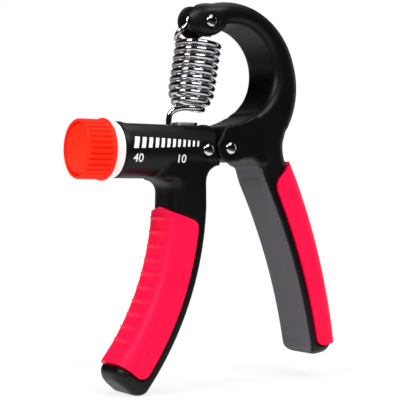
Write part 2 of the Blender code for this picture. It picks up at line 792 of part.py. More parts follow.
def tip_rings():
    """Sections of the round tip, across the barrel's direction."""
    rings = []
    for angle in (30, 50, 70, 90, 110, 130, 148, 162, 172):
        x = PIN_X + TIP_REACH * math.cos(math.radians(angle))
        half = TIP_HALF_HEIGHT * math.sin(math.radians(angle))
        rounds = (4.4 * MM, 4.4 * MM)
        rings.append(round_section((x, TIP_Z), (0, 1), half, half, ring_depth(x), rounds))
    return rings


def lug_outline():
    """Outline of the pivot lug, counterclockwise from the corner above the pivot."""
    outline = arc(LUG_CORNER_X, LUG_CORNER_Z, LUG_CORNER_RADIUS, 100, 178, 5)
    outline += arc(0.0, 0.0, LUG_RADIUS, 136, 272, 11)
    outline += [(x * MM, z * MM) for x, z in LUG_ARCH + LUG_ARCH_END]
    outline += arc(FLOOR_X, FLOOR_Z, FLOOR_RADIUS, LUG_FLOOR_FROM, -81, 6)
    return outline


def build_arm(frame, materials):
    """Spring arm with its cover, soft grip, rivets, bush and roller."""
    arm = piece("arm_moulding", loft(arm_rings()), frame, materials["black"])
    tip = cutter("join_tip", loft(tip_rings()), frame)
    lug = cutter("join_lug", edged_plate(lug_outline(), LUG_HALF_DEPTH, LUG_EDGE), frame)
    half = TONGUE_HALF_THICK + GAP
    slot = cutter("cut_tongue_slot", rod(LUG_RADIUS + 0.4 * MM, -half, half, 0.0, 0.0, 40), frame)
    low = PIN_Z - 12.0 * MM
    high = PIN_Z + 12.0 * MM
    fork = box(PIN_X - 12.0 * MM, FORK_END_X, FORK_WIDTH / 2, low, high)
    fork = cutter("cut_fork", fork, frame)
    holes = []
    for name, x, z in (("pivot", 0.0, 0.0), ("pin", PIN_X, PIN_Z)):
        hole = rod(RIVET_RADIUS + GAP, -CUT_THROUGH, CUT_THROUGH, x, z, 20)
        holes.append(cutter(f"cut_{name}_hole", hole, frame))
    seats = []
    for side, name in ((-1, "front"), (1, "back")):
        middle = side * (PIN_SEAT + 2.0 * MM)
        radius = RIVET_HEAD_RADIUS + GAP
        seat = rod(radius, middle - 2.0 * MM, middle + 2.0 * MM, PIN_X, PIN_Z)
        seats.append(cutter(f"cut_pin_seat_{name}", seat, frame))
    recess = cover_bm(RIGHT, RIGHT_COVER_TOP, RIGHT_COVER_BOTTOM, GAP)
    recess = cutter("cut_right_cover", recess, frame)
    hollow = hollow_bm(RIGHT, RIGHT_COVER_TOP, RIGHT_COVER_BOTTOM)
    hollow = cutter("cut_right_hollow", hollow, frame)
    tops = (RIGHT_GRIP_TOP_OUTER, RIGHT_GRIP_TOP_INNER)
    rows = grip_rows(RIGHT, tops, RIGHT_GRIP_BOTTOM, 13, GAP, 1.5 * MM, None, False)
    grip_recess = cutter("cut_right_grip", shell(*rows), frame)
    boolean(arm, tip, "UNION")
    boolean(arm, lug, "UNION")
    cut(arm, slot, fork, *holes, *seats, recess, hollow, grip_recess)

    cover = cover_bm(RIGHT, RIGHT_COVER_TOP, RIGHT_COVER_BOTTOM, 0.0)
    piece("arm_inner_cover", cover, frame, materials["satin"])
    rows = grip_rows(RIGHT, tops, RIGHT_GRIP_BOTTOM, 13, 0.0, 0.0, None, False)
    piece("right_grip_cover", shell(*rows), frame, materials["red"])

    piece("pivot_rivet", rivet(LUG_HALF_DEPTH, 0.0, 0.0), frame, materials["chrome"])
    half = TONGUE_HALF_THICK
    bush = tube(RIVET_RADIUS + GAP, BUSH_RADIUS, -half, half, "Y", 24)
    piece("pivot_bush", bush, frame, materials["steel"])
    piece("spring_pin_rivet", rivet(PIN_SEAT, PIN_X, PIN_Z), frame, materials["chrome"])
    half = FORK_WIDTH / 2 - GAP
    roller = tube(RIVET_RADIUS + GAP, ROLLER_RADIUS, -half, half, "Y", 24, (PIN_X, PIN_Z))
    piece("hook_roller", roller, frame, materials["steel"])


def knob_bm():
    """Ribbed knob, hollow from the right round its hub."""
    cap_floor = KNOB_LEFT + CAP_DEPTH + CAP_THICK + GAP
    cap_hole = CAP_RADIUS + GAP
    head_floor = cap_floor + KNOB_SCREW_HEAD_WIDTH + GAP
    head_hole = KNOB_SCREW_HEAD + GAP
    shank_hole = KNOB_SCREW_RADIUS + GAP
    web_end = head_floor + KNOB_WEB
    screw_hole = SCREW_RADIUS + GAP
    hub_face = KNOB_RIGHT - WASHER_THICK - GAP
    cavity_floor = cap_floor + KNOB_FLOOR
    cavity = KNOB_RADIUS - KNOB_RIB_DEPTH - KNOB_WALL
    flange = KNOB_RIGHT - KNOB_FLANGE_WIDTH
    rib_start = KNOB_LEFT + KNOB_RIM_BAND
    low = KNOB_RADIUS - KNOB_EDGE_ROUND
    profile = [
        (KNOB_LEFT, cap_hole, 0.0),
        (KNOB_LEFT, low, 0.0),
        (KNOB_LEFT + KNOB_EDGE_ROUND * 0.3, low + KNOB_EDGE_ROUND * 0.71, 0.0),
        (KNOB_LEFT + KNOB_EDGE_ROUND, KNOB_RADIUS, 0.0),
        (rib_start, KNOB_RADIUS, 0.0),
        (rib_start + 0.5 * MM, KNOB_RADIUS, KNOB_RIB_DEPTH),
        (flange - 0.4 * MM, KNOB_RADIUS + 0.2 * MM, KNOB_RIB_DEPTH),
        (flange, KNOB_FLANGE_RADIUS, 0.0),
        (KNOB_RIGHT - 0.5 * MM, KNOB_FLANGE_RADIUS, 0.0),
        (KNOB_RIGHT, KNOB_FLANGE_RADIUS - 0.5 * MM, 0.0),
        (KNOB_RIGHT, cavity, 0.0),
        (cavity_floor, cavity, 0.0),
        (cavity_floor, KNOB_HUB_RADIUS, 0.0),
        (hub_face, KNOB_HUB_RADIUS, 0.0),
        (hub_face, screw_hole, 0.0),
        (web_end, screw_hole, 0.0),
        (web_end, shank_hole, 0.0),
        (head_floor, shank_hole, 0.0),
        (head_floor, head_hole, 0.0),
        (cap_floor, head_hole, 0.0),
        (cap_floor, cap_hole, 0.0),
    ]
    bm = bmesh.new()
    rows = []
    steps = KNOB_RIBS * 2
    for place, radius, depth in profile:
        row = []
        for step in range(steps):
            angle = TURN * step / steps
            r = radius - depth * (step % 2)
            row.append(bm.verts.new((place, r * math.sin(angle), r * math.cos(angle))))
        rows.append(row)
    for k in range(len(rows)):
        row = rows[k]
        following = rows[(k + 1) % len(rows)]
        for i in range(steps):
            j = (i + 1) % steps
            bm.faces.new((row[i], row[j], following[j], following[i]))
    return bm


def build_knob(frame, materials):
    """Knob with its cap and screws, all turning with the lead screw."""
    piece("knob", knob_bm(), frame, materials["orange"])

    face = KNOB_LEFT + CAP_DEPTH
    cap_back = face + CAP_THICK
    edge = 0.3 * MM
    profile = [(face, 0.0), (face, CAP_RADIUS - edge), (face + edge, CAP_RADIUS)]
    profile += [(cap_back, CAP_RADIUS), (cap_back, 0.0)]
    piece("knob_cap", turned(profile, "X", 48), frame, materials["orange"])

    head = cap_back + GAP
    neck = head + KNOB_SCREW_HEAD_WIDTH
    left = neck + GAP + KNOB_WEB + GAP
    end = left + KNOB_SCREW_REACH
    profile = [(head, 0.0), (head, KNOB_SCREW_HEAD), (neck, KNOB_SCREW_HEAD)]
    profile += [(neck, KNOB_SCREW_RADIUS), (end, KNOB_SCREW_RADIUS), (end, 0.0)]
    piece("knob_screw", turned(profile, "X", 20), frame, materials["steel"])

    drill = KNOB_SCREW_RADIUS + GAP
    groove = BARREL_MOUTH - GAP + COLLAR_SPIGOT
    groove_end = groove + CLIP_THICK + 2 * GAP
    shoulder = BLOCK_LEFT - GAP
    tip = BLOCK_LEFT + SCREW_TIP_LENGTH - GAP
    profile = [
        (end + GAP, 0.0),
        (end + GAP, drill),
        (left, drill),
        (left, SCREW_RADIUS),
        (groove, SCREW_RADIUS),
        (groove, CLIP_GROOVE_RADIUS),
        (groove_end, CLIP_GROOVE_RADIUS),
        (groove_end, SCREW_RADIUS),
        (shoulder, SCREW_RADIUS),
        (shoulder, SCREW_TIP_RADIUS),
        (tip, SCREW_TIP_RADIUS),
        (tip, 0.0),
    ]
    piece("lead_screw", turned(profile, "X", 20), frame, materials["steel"])

    hole = SCREW_RADIUS + GAP
    washer = tube(hole, WASHER_RADIUS, KNOB_RIGHT - WASHER_THICK, KNOB_RIGHT, "X", 28)
    piece("thrust_washer", washer, frame, materials["steel"])

    inner = CLIP_GROOVE_RADIUS + 0.25 * MM
    clip = tube(inner, CLIP_RADIUS, groove + GAP, groove + GAP + CLIP_THICK, "X", 24)
    clip = piece("screw_clip", clip, frame, materials["steel"])
    mouth = box(groove - GAP, groove_end + GAP, CLIP_MOUTH / 2, -6.0 * MM, 0.0)
    cut(clip, cutter("cut_clip_mouth", mouth, frame))


def shackle_bm():
    """Inverted U over the spring's hook."""
    outside = SLOT_WIDTH / 2 - SLIDE_GAP
    inside = outside - SHACKLE_LEG
    low = NUT_TOP + GAP
    round_to = SHACKLE_TOP - SHACKLE_ROUND
    outline = [(-outside, low)]
    outline += arc(-outside + SHACKLE_ROUND, round_to, SHACKLE_ROUND, 180, 90, 4)
    outline += arc(outside - SHACKLE_ROUND, round_to, SHACKLE_ROUND, 90, 0, 4)
    outline += [(outside, low), (inside, low), (inside, SHACKLE_TOP - SHACKLE_THICK)]
    outline += [(-inside, SHACKLE_TOP - SHACKLE_THICK), (-inside, low)]
    rings = []
    for x in (SLIDER_X - SHACKLE_LENGTH / 2, SLIDER_X + SHACKLE_LENGTH / 2):
        rings.append([Vector((x, y, z)) for y, z in outline])
    return loft(rings)


def build_slider(frame, materials):
    """Nut inside the barrel and the shackle that stands through the slot."""
    low = SLIDER_X - NUT_OFFSET - NUT_LENGTH / 2
    high = low + NUT_LENGTH
    nut = tube(SCREW_RADIUS + SLIDE_GAP, BORE_RADIUS - SLIDE_GAP, low, high, "X", 40)
    nut = piece("slider_nut", nut, frame, materials["steel"])
    flat = box(low - 1.0 * MM, high + 1.0 * MM, 10.0 * MM, NUT_TOP, 12.0 * MM)
    cut(nut, cutter("cut_nut_flat", flat, frame))

    shackle = piece("slider_shackle", shackle_bm(), frame, materials["steel"])
    outside = SLOT_WIDTH / 2 - SLIDE_GAP
    half = SHACKLE_LEG / 2
    left = SLIDER_X - SHACKLE_LENGTH / 2 + 0.3 * MM
    right = left + TENON_LENGTH
    low = NUT_TOP - TENON_DEPTH
    high = NUT_TOP + 2 * GAP
    for side, name in ((-1, "front"), (1, "back")):
        y = side * (outside - half)
        tenon = box(left, right, half - 0.05 * MM, low, high, y)
        boolean(shackle, cutter(f"join_tenon_{name}", tenon, frame), "UNION")
        pocket = box(left - GAP, right + GAP, half + GAP, low - GAP, high, y)
        cut(nut, cutter(f"cut_tenon_{name}", pocket, frame))


def curve_through(points, steps):
    """A smooth run of points from the second point up to the last but one."""
    run = []
    for k in range(1, len(points) - 2):
        a, b, c, d = points[k - 1 : k + 3]
        for step in range(steps):
            t = step / steps
            bow = (2 * a - 5 * b + 4 * c - d) * t**2 + (3 * b - a - 3 * c + d) * t**3
            run.append(0.5 * (2 * b + (c - a) * t + bow))
    return run


def coil_point(turns):
    """A point of the coil, counted in turns from the front of the lowest curl."""
    bottom = Vector((COIL_BOTTOM[0], 0.0, COIL_BOTTOM[1]))
    rise = Vector((COIL_TOP[0], 0.0, COIL_TOP[1])) - bottom
    across = Vector((rise.z, 0.0, -rise.x)).normalized()
    taper = math.sin(min(max(turns / COIL_TAPER_TURNS, 0.0), 1.0) * math.pi / 2)
    radius = COIL_END_RADIUS + (COIL_RADIUS - COIL_END_RADIUS) * taper
    angle = TURN * (turns - 0.25)
    side = across * math.cos(angle) + Vector((0.0, math.sin(angle), 0.0))
    return bottom + rise * turns / COIL_TURNS + side * radius


def spring_path():
    """Middle line of the spring, from its lower hook's end to its upper eye's end."""
    run_z = SHACKLE_TOP - SHACKLE_THICK - GAP - WIRE_RADIUS - BARREL_AXIS_DROP
    bend_z = run_z + HOOK_BEND
    hook = [(HOOK_END_X, HOOK_END_Z)]
    hook += arc(HOOK_END_X - HOOK_BEND, bend_z, HOOK_BEND, 0, -90, 4)
    hook += arc(HOOK_LEG_X + HOOK_BEND, bend_z, HOOK_BEND, -90, -180, 4)
    path = [Vector((x, 0.0, z)) for x, z in hook]
    leg_top = Vector((HOOK_LEG_X, 0.0, HOOK_LEG_TOP))
    lead = [leg_top - Vector((0.0, 0.0, 2.4 * MM)), leg_top]
    lead += [Vector(point) * MM for point in HOOK_LEAD]
    lead += [coil_point(0.0), coil_point(0.28)]
    path += curve_through(lead, 4)
    count = int(COIL_TURNS * COIL_POINTS)
    path += [coil_point(step / COIL_POINTS) for step in range(count)]
    last = count / COIL_POINTS
    eye = ROLLER_RADIUS + GAP + WIRE_RADIUS
    climb = [coil_point(last - 0.3), coil_point(last)]
    climb += [Vector(point) * MM for point in EYE_CLIMB]
    loop = arc(PIN_X, PIN_Z, eye, EYE_START, 0, 10)
    loop = [Vector((x, 0.0, z)) for x, z in loop]
    path += curve_through(climb + loop[:2], 3) + loop
    path += [Vector((PIN_X + eye, 0.0, EYE_END_Z))]
    return path


def least_gap(path):
    """Smallest free distance between parts of the wire that aren't neighbours."""
    along = [0.0]
    for before, after in zip(path, path[1:]):
        along.append(along[-1] + (after - before).length)
    least = 1.0
    for i in range(len(path)):
        for j in range(i + 1, len(path)):
            if along[j] - along[i] > 8 * WIRE_RADIUS:
                least = min(least, (path[j] - path[i]).length - 2 * WIRE_RADIUS)
    return least


def build_spring(frame, materials):
    """Extension spring as one unbroken tube."""
    path = spring_path()
    curve = bpy.data.curves.new("spring", "CURVE")
    curve.dimensions = "3D"
    curve.bevel_depth = WIRE_RADIUS
    curve.bevel_resolution = 1
    curve.use_fill_caps = True
    spline = curve.splines.new("POLY")
    spline.points.add(len(path) - 1)
    for point, place in zip(spline.points, path):
        point.co = (*place, 1.0)
    curve.materials.append(materials["chrome"])
    obj = bpy.data.objects.new("spring", curve)
    obj.parent = frame
    bpy.context.collection.objects.link(obj)
    print(f"spring: {len(path)} points, least gap {least_gap(path) / MM:.2f} mm")


def clear_scene():
    for obj in list(bpy.data.objects):
        bpy.data.objects.remove(obj, do_unlink=True)


def outer_reach():
    """Largest X of the palm handle's soft grip."""
    reach = 0.0
    for s in spread(0.0, RIGHT_GRIP_BOTTOM, 60):
        reach = max(reach, RIGHT.place(s, RIGHT.half_width(s) + GRIP_PROUD).x)
    return reach


def main():
    clear_scene()
    materials = {
        "black": shade("black_plastic", (0.012, 0.012, 0.014), 0.35),
        "satin": shade("satin_plastic", (0.10, 0.10, 0.10), 0.5),
        "red": shade("red_rubber", (0.80, 0.03, 0.06), 0.6),
        "orange": shade("orange_plastic", (0.86, 0.10, 0.02), 0.45),
        "white": shade("white_plastic", (0.80, 0.80, 0.80), 0.4),
        "steel": shade("steel", (0.55, 0.55, 0.56), 0.35, 1.0),
        "chrome": shade("chrome", (0.75, 0.75, 0.76), 0.12, 1.0),
    }
    pivot_x = -(KNOB_LEFT + outer_reach()) / 2
    pivot_z = -(RING_Z + RING_RADIUS + LEFT.lowest()) / 2
    print(f"pivot: x {pivot_x / MM:.3f} z {pivot_z / MM:.3f} mm")
    body_frame = empty("body_frame", pivot_x, pivot_z)
    arm_frame = empty("arm_frame", pivot_x, pivot_z)
    screw_frame = empty("screw_frame", 0.0, -BARREL_AXIS_DROP, body_frame)
    slider_frame = empty("slider_frame", 0.0, -BARREL_AXIS_DROP, body_frame)
    build_body(body_frame, screw_frame, materials)
    build_arm(arm_frame, materials)
    build_knob(screw_frame, materials)
    build_slider(slider_frame, materials)
    build_spring(arm_frame, materials)


main()
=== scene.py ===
"""Looks for the adjustable hand gripper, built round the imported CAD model.

Lengths are in millimetres round the hinge pin, as in the part's source: X runs along the
barrel, Y is depth and Z is up. The function at() turns them into the frame's metres.
"""

import math

import bmesh
import bpy
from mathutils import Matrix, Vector


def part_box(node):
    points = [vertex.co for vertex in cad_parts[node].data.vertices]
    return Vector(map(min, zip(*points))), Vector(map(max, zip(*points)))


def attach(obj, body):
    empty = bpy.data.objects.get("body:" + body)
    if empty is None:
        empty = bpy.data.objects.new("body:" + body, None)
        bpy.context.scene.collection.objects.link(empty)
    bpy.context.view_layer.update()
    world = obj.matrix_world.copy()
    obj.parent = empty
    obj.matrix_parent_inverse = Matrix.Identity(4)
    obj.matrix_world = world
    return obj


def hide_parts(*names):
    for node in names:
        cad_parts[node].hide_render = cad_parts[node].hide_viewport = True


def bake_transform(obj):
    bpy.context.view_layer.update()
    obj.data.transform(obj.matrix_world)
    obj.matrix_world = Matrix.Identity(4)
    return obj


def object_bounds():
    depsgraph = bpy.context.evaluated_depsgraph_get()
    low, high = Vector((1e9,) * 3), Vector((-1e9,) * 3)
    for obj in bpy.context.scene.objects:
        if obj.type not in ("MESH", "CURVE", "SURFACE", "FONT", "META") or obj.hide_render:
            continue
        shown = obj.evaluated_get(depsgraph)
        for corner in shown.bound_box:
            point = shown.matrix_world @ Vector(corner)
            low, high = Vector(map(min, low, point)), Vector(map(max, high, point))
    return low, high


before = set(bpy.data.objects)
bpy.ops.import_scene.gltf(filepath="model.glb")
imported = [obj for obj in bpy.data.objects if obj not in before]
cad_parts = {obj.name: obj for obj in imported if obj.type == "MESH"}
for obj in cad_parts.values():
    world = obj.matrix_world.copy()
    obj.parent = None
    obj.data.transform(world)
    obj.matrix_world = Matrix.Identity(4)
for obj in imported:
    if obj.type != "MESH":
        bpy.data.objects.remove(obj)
CAD_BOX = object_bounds()

MM = 0.001
TURN = 2 * math.pi

BUSH_LOW, BUSH_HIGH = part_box("pivot_bush")
PIVOT = (BUSH_LOW + BUSH_HIGH) / 2

# Clearances
GAP = 0.3
SLIDE_GAP = 0.35
TURN_GAP = 0.5

# How far cuts through the mouldings reach, past the surface
CUT_REACH = 12.0
ARM_CUT_REACH = 13.0

# Barrel
BARREL_RADIUS = 10.5
BARREL_Z = -1.2
BARREL_MOUTH = -44.6
BARREL_END = -3.4
BARREL_END_ROUND = 1.6
BARREL_RIM_ROUND = 0.6
BORE_RADIUS = 8.3
BORE_END = -14.0
SLOT = (-42.0, -6.9)
SLOT_HALF_WIDTH = 3.4
BLOCK_TOP = 4.4
TONGUE_RADIUS = 5.2
TONGUE_HALF_THICK = 5.0
BLOCK_LEFT = -14.3
UNDERCUT = (-3.6, -12.5)
UNDERCUT_RADIUS = 5.9
UNDERCUT_DROP = 0.5
UNDERCUT_THROUGH = 14.0

# Handles
HALF_DEPTH = 9.7
INNER_ROUND = 1.0
OUTER_ROUND = 5.6
END_ROUND = 4.2
FLARE = 5.0
FLARE_END = -5.5
FINGER_START = -18.0
WEB_HALF_DEPTH = HALF_DEPTH - 0.1

# Soft grips
GRIP_PROUD = 1.2
GRIP_THICK = 2.4
GRIP_FACE_PROUD = 0.5
GRIP_FACE_THICK = 1.7
GRIP_MARGIN = 3.6
GRIP_CORNER = 3.4
RIB_COUNT = 10
RIB_PITCH = 5.8
RIB_FIRST = 5.0
RIB_HEIGHT = 1.05
SCOOP_DEPTH = 0.2
GRIP_EDGE = 0.3
GRIP_CREASE = 62
RECESS_PROUD = 1.5
RECESS_COUNTS = (40, 40)
FINGER_COUNTS = (90, 260)
PALM_COUNTS = (70, 90)

# Inner covers
COVER_THICK = 1.7
COVER_RIM = 0.2
COVER_HALF_WIDTH = HALF_DEPTH - INNER_ROUND - COVER_RIM
COVER_ARCH = 5.5
COVER_SEAM = 0.02
COVER_OPEN = 1.0
FINGER_COVER_EDGE = 0.1
PALM_COVER_EDGE = 0.03

# Ring of the spring arm
RING = (2.2, 24.4)
RING_RADIUS = 31.7
WINDOW = (4.5, 30.0)
WINDOW_RADIUS = 17.8
RING_HALF_DEPTH = 11.0
RING_ROUNDS = (3.6, 5.0)
RING_TAPER_FROM = -0.5
RING_TAPER = 15.0
RING_FROM = 114.0
RING_TO = -40.0
NECK_ROUNDS = (3.3, 5.3)
NECK = (
    ((15.2, 15.6), (28.6, 6.8), 11.0),
    ((12.2, 13.3), (27.8, 4.2), 11.0),
    ((11.5, 6.5), (27.3, 2.0), 10.9),
    ((12.8, -0.5), (27.7, -1.2), 10.6),
    ((14.6, -6.0), (28.9, -4.2), 10.1),
)

# Pivot lug, fork and pin
LUG_RADIUS = 5.5
LUG_HALF_DEPTH = 10.8
LUG_EDGE = 1.0
LUG_CORNER = (0.2, 5.8)
LUG_CORNER_RADIUS = 3.0
LUG_ARCH = ((2.4, -5.2), (4.6, -4.8), (6.8, -4.0), (9.0, -3.7), (11.0, -4.0), (12.7, -5.1))
LUG_ARCH_END = ((14.9, -6.6), (18.5, -5.0), (18.5, 2.0), (17.0, 9.5))
FLOOR = (-4.1, 38.6)
FLOOR_RADIUS = 30.0
PIN = (-7.6, 48.0)
TIP_Z = 48.9
TIP_REACH = 7.6
TIP_HALF_HEIGHT = 6.35
TIP_ROUNDS = (4.4, 4.4)
FORK_HALF_WIDTH = 3.3
FORK_END = -1.4
PIN_SEAT = 9.0
ROLLER_RADIUS = 3.2

# The mouldings' skins: fineness in mm and smoothing passes
BODY_SKIN = (0.42, 6)
ARM_SKIN = (0.45, 8)

# Where two forms of a moulding run together: middle, reach and smoothing passes
BARREL_JOIN = ((-18.0, -13.0), 13.0, 40)
NECK_JOIN = ((17.5, -3.0), 8.5, 20)
WINDOW_JOIN = ((13.0, 13.0), 8.0, 30)

# The arm moulding's inner face, where the light that falls on black plastic is painted grey:
# its left and upper bounds, and how far it faces left
PALM_FACE_X = 12.0
PALM_FACE_Z = -4.5
PALM_FACE_TURN = -0.75

# Rivets
RIVET_HEAD = 2.35
HEAD_SEAT = RIVET_HEAD + 0.45
HEAD_RIM = 0.12
HEAD_HEIGHT = 1.3
RIVET_HOLE = 2.0
BODY_RIVET = (-9.6, -0.8)
BODY_RIVET_SEAT = 9.9
BODY_SEAT_CUT = 3.0
PIN_SEAT_CUT = 4.0

# Knob and collar
KNOB_LEFT = -59.9
KNOB_RIGHT = -48.9
KNOB_RADIUS = 11.0
KNOB_FLANGE = 11.5
KNOB_RIBS = 32
KNOB_RIB_DEPTH = 0.95
KNOB_EDGE = 0.8
KNOB_WALL = 2.1
KNOB_FLOOR = 1.6
KNOB_WEB = 4.0
KNOB_HUB = 4.0
CAP_RADIUS = 9.7
CAP_GAP = 0.12
CAP_DISH = 0.45
CAP_THICK = 1.3
COLLAR_RADIUS = 10.3
COLLAR_EDGE = 0.4
COLLAR_SPIGOT = 2.4

# Screw and shackle
SCREW_RADIUS = 2.5
SCREW_LEFT = KNOB_LEFT + 5.4
SCREW_NECK_RADIUS = 1.9
SCREW_SIDES = 32
THREAD_PITCH = 2.0
THREAD_DEPTH = 0.35
THREAD_RUN_OUT = 1.5
CLIP_GROOVE = (BARREL_MOUTH + 2.1, BARREL_MOUTH + 3.3)
CLIP_GROOVE_RADIUS = 2.0
SHACKLE_X = -14.8
SHACKLE_LENGTH = 6.7
SHACKLE_TOP = 11.0
SHACKLE_THICK = 2.0
SHACKLE_LEG = 1.3
SHACKLE_ROUND = 0.6
SHACKLE_EDGE = 0.15
NUT_TOP = 5.6

# Spring
WIRE_RADIUS = 1.1
COIL_RADIUS = 7.95
COIL_END_RADIUS = 5.0
COIL_TAPER_TURNS = 2.5
COIL_TURNS = 9.6
COIL_BOTTOM = (-11.9, 15.2)
COIL_TOP = (-7.3, 41.3)
COIL_STEPS = 40
SPRING_SPLIT = 3.2
HOOK_LEG_X = -20.9
HOOK_LEG_TOP = 10.5
HOOK_END = (-9.3, 9.9)
HOOK_BEND = 2.2
HOOK_LEAD = ((-20.0, -0.4, 13.4), (-17.2, -2.4, 15.0))
EYE_CLIMB = (
    (-14.7, 4.0, 42.6),
    (-16.0, 1.5, 43.5),
    (-15.3, 0.2, 45.0),
    (-13.7, 0.0, 46.4),
    (-12.6, 0.0, 47.9),
)
EYE_START = 165.0
EYE_END_Z = 43.2


def at(x, y, z):
    """A place given in mm round the hinge pin, in the frame's metres."""
    return PIVOT + Vector((x, y, z)) * MM


def in_mm(place):
    """The x, y and z of a place in the frame, in mm round the hinge pin."""
    return [(a - b) / MM for a, b in zip(place, PIVOT)]


def arc(centre, radius, start, end, steps):
    """(x, z) points along an arc, with angles in degrees."""
    points = []
    for step in range(steps + 1):
        angle = math.radians(start + (end - start) * step / steps)
        x = centre[0] + radius * math.cos(angle)
        points.append((x, centre[1] + radius * math.sin(angle)))
    return points


def turns(start, stop, step):
    """Angles in radians, from degrees that count like a range."""
    return [math.radians(angle) for angle in range(start, stop, step)]


def spread(start, end, count):
    """Even values from start to end."""
    return [start + (end - start) * i / (count - 1) for i in range(count)]


def ease(value, low, high):
    """0 below low, 1 above high, and smooth between."""
    t = min(max((value - low) / (high - low), 0.0), 1.0)
    return t * t * (3 - 2 * t)


def curve_through(points, steps):
    """A smooth run from the second point up to the last but one. Points are vectors."""
    run = []
    for k in range(1, len(points) - 2):
        a, b, c, d = points[k - 1 : k + 3]
        for step in range(steps):
            t = step / steps
            bow = (2 * a - 5 * b + 4 * c - d) * t**2 + (3 * b - a - 3 * c + d) * t**3
            run.append(0.5 * (2 * b + (c - a) * t + bow))
    return run


# Modelling


def clear_choice():
    """Deselects everything."""
    bpy.ops.object.select_all(action="DESELECT")


def alone(obj):
    """Selects obj and nothing else."""
    clear_choice()
    obj.select_set(True)
    bpy.context.view_layer.objects.active = obj


def fresh(name):
    """The primitive just added, under its name."""
    obj = bpy.context.object
    obj.name = name
    obj.data.name = name
    return obj


def put_selected(obj, points):
    """Puts the selected points of the mesh under edit on the given places."""
    bm = bmesh.from_edit_mesh(obj.data)
    chosen = [v for v in bm.verts if v.select]
    for vertex, point in zip(chosen, points):
        vertex.co = point
    bmesh.update_edit_mesh(obj.data)


def close_up():
    """Merges doubles, turns the faces outwards and leaves edit mode."""
    bpy.ops.mesh.select_all(action="SELECT")
    bpy.ops.mesh.remove_doubles(threshold=0.004 * MM)
    bpy.ops.mesh.normals_make_consistent(inside=False)
    bpy.ops.object.mode_set(mode="OBJECT")


def drawn_bar(name, rings):
    """A bar extruded from one outline to the next."""
    clear_choice()
    bpy.ops.mesh.primitive_circle_add(vertices=len(rings[0]), fill_type="NGON")
    bar = fresh(name)
    bpy.ops.object.mode_set(mode="EDIT")
    put_selected(bar, rings[0])
    for ring in rings[1:]:
        bpy.ops.mesh.extrude_region_move()
        put_selected(bar, ring)
    close_up()
    return bar


def plate(name, outline, half_depth):
    """An (x, z) outline extruded to both sides of the middle."""
    front = [at(x, -half_depth, z) for x, z in outline]
    back = [at(x, half_depth, z) for x, z in outline]
    return drawn_bar(name, [front, back])


def turned(name, profile, axis, centre, steps):
    """A (place, radius) profile in mm, drawn as a line of points and spun round X or Y."""
    points = [at(centre[0], place, centre[1] + radius) for place, radius in profile]
    middle, line = at(centre[0], 0, centre[1]), (0, 1, 0)
    if axis == "X":
        points = [at(place, centre[0], centre[1] + radius) for place, radius in profile]
        middle, line = at(0, *centre), (1, 0, 0)
    clear_choice()
    bpy.ops.mesh.primitive_plane_add(size=MM)
    wheel = fresh(name)
    bpy.ops.object.mode_set(mode="EDIT")
    bpy.ops.mesh.merge(type="CENTER")
    bpy.ops.transform.translate(value=points[0])
    for before, after in zip(points, points[1:]):
        step = after - before
        bpy.ops.mesh.extrude_vertices_move(TRANSFORM_OT_translate={"value": step})
    bpy.ops.mesh.select_all(action="SELECT")
    bpy.ops.mesh.spin(steps=steps, angle=TURN, center=middle, axis=line)
    close_up()
    return wheel


def rod(name, radius, low, high, centre, axis="Y", steps=64):
    """A plain round bar, used to drill or to seat."""
    clear_choice()
    middle = (low + high) / 2
    place, turn = at(centre[0], middle, centre[1]), (math.pi / 2, 0, 0)
    if axis == "X":
        place, turn = at(middle, *centre), (0, math.pi / 2, 0)
    size = {"vertices": steps, "radius": radius * MM, "depth": (high - low) * MM}
    bpy.ops.mesh.primitive_cylinder_add(location=place, rotation=turn, **size)
    return settled(fresh(name))


def block(name, x, y, z):
    """A box between low and high values along each axis."""
    clear_choice()
    low = at(x[0], y[0], z[0])
    high = at(x[1], y[1], z[1])
    bpy.ops.mesh.primitive_cube_add(size=1, location=(low + high) / 2, scale=high - low)
    return settled(fresh(name))


def laid_shell(name, columns, rows, point):
    """A grid laid on a surface and extruded inwards. point gives a place for (i, j, inside)."""
    spots = [(i, j) for j in range(rows) for i in range(columns)]
    clear_choice()
    bpy.ops.mesh.primitive_grid_add(x_subdivisions=columns - 1, y_subdivisions=rows - 1)
    skin = fresh(name)
    bpy.ops.object.mode_set(mode="EDIT")
    put_selected(skin, [point(i, j, False) for i, j in spots])
    bpy.ops.mesh.extrude_region_move()
    put_selected(skin, [point(i, j, True) for i, j in spots])
    close_up()
    return skin


def settled(obj):
    """Puts a piece's place into its mesh."""
    alone(obj)
    bpy.ops.object.transform_apply(location=True, rotation=True, scale=True)
    return obj


def modify(obj, kind, **settings):
    """Adds a modifier and applies it."""
    alone(obj)
    modifier = obj.modifiers.new(kind.lower(), kind)
    for name, value in settings.items():
        setattr(modifier, name, value)
    bpy.ops.object.modifier_apply(modifier=modifier.name)


def joined(pieces, name):
    """Makes one piece of several."""
    alone(pieces[0])
    for piece in pieces[1:]:
        piece.select_set(True)
    bpy.ops.object.join()
    return fresh(name)


def carve(obj, operation, *tools):
    """Joins the tools to obj or cuts them out of it, and throws them away."""
    for tool in tools:
        modify(obj, "BOOLEAN", operation=operation, object=tool, solver="EXACT")
        bpy.data.objects.remove(tool, do_unlink=True)


def rounded(obj, width, segments=3, angle=40):
    """Rounds the sharp edges."""
    limit = {"limit_method": "ANGLE", "angle_limit": math.radians(angle)}
    modify(obj, "BEVEL", width=width * MM, segments=segments, use_clamp_overlap=True, **limit)


def as_moulded(obj, voxel, passes):
    """Evens the skin and softens its edges and inner corners, as a mould's radii do."""
    modify(obj, "REMESH", mode="VOXEL", voxel_size=voxel * MM, adaptivity=0.0)
    modify(obj, "SMOOTH", factor=0.5, iterations=passes)


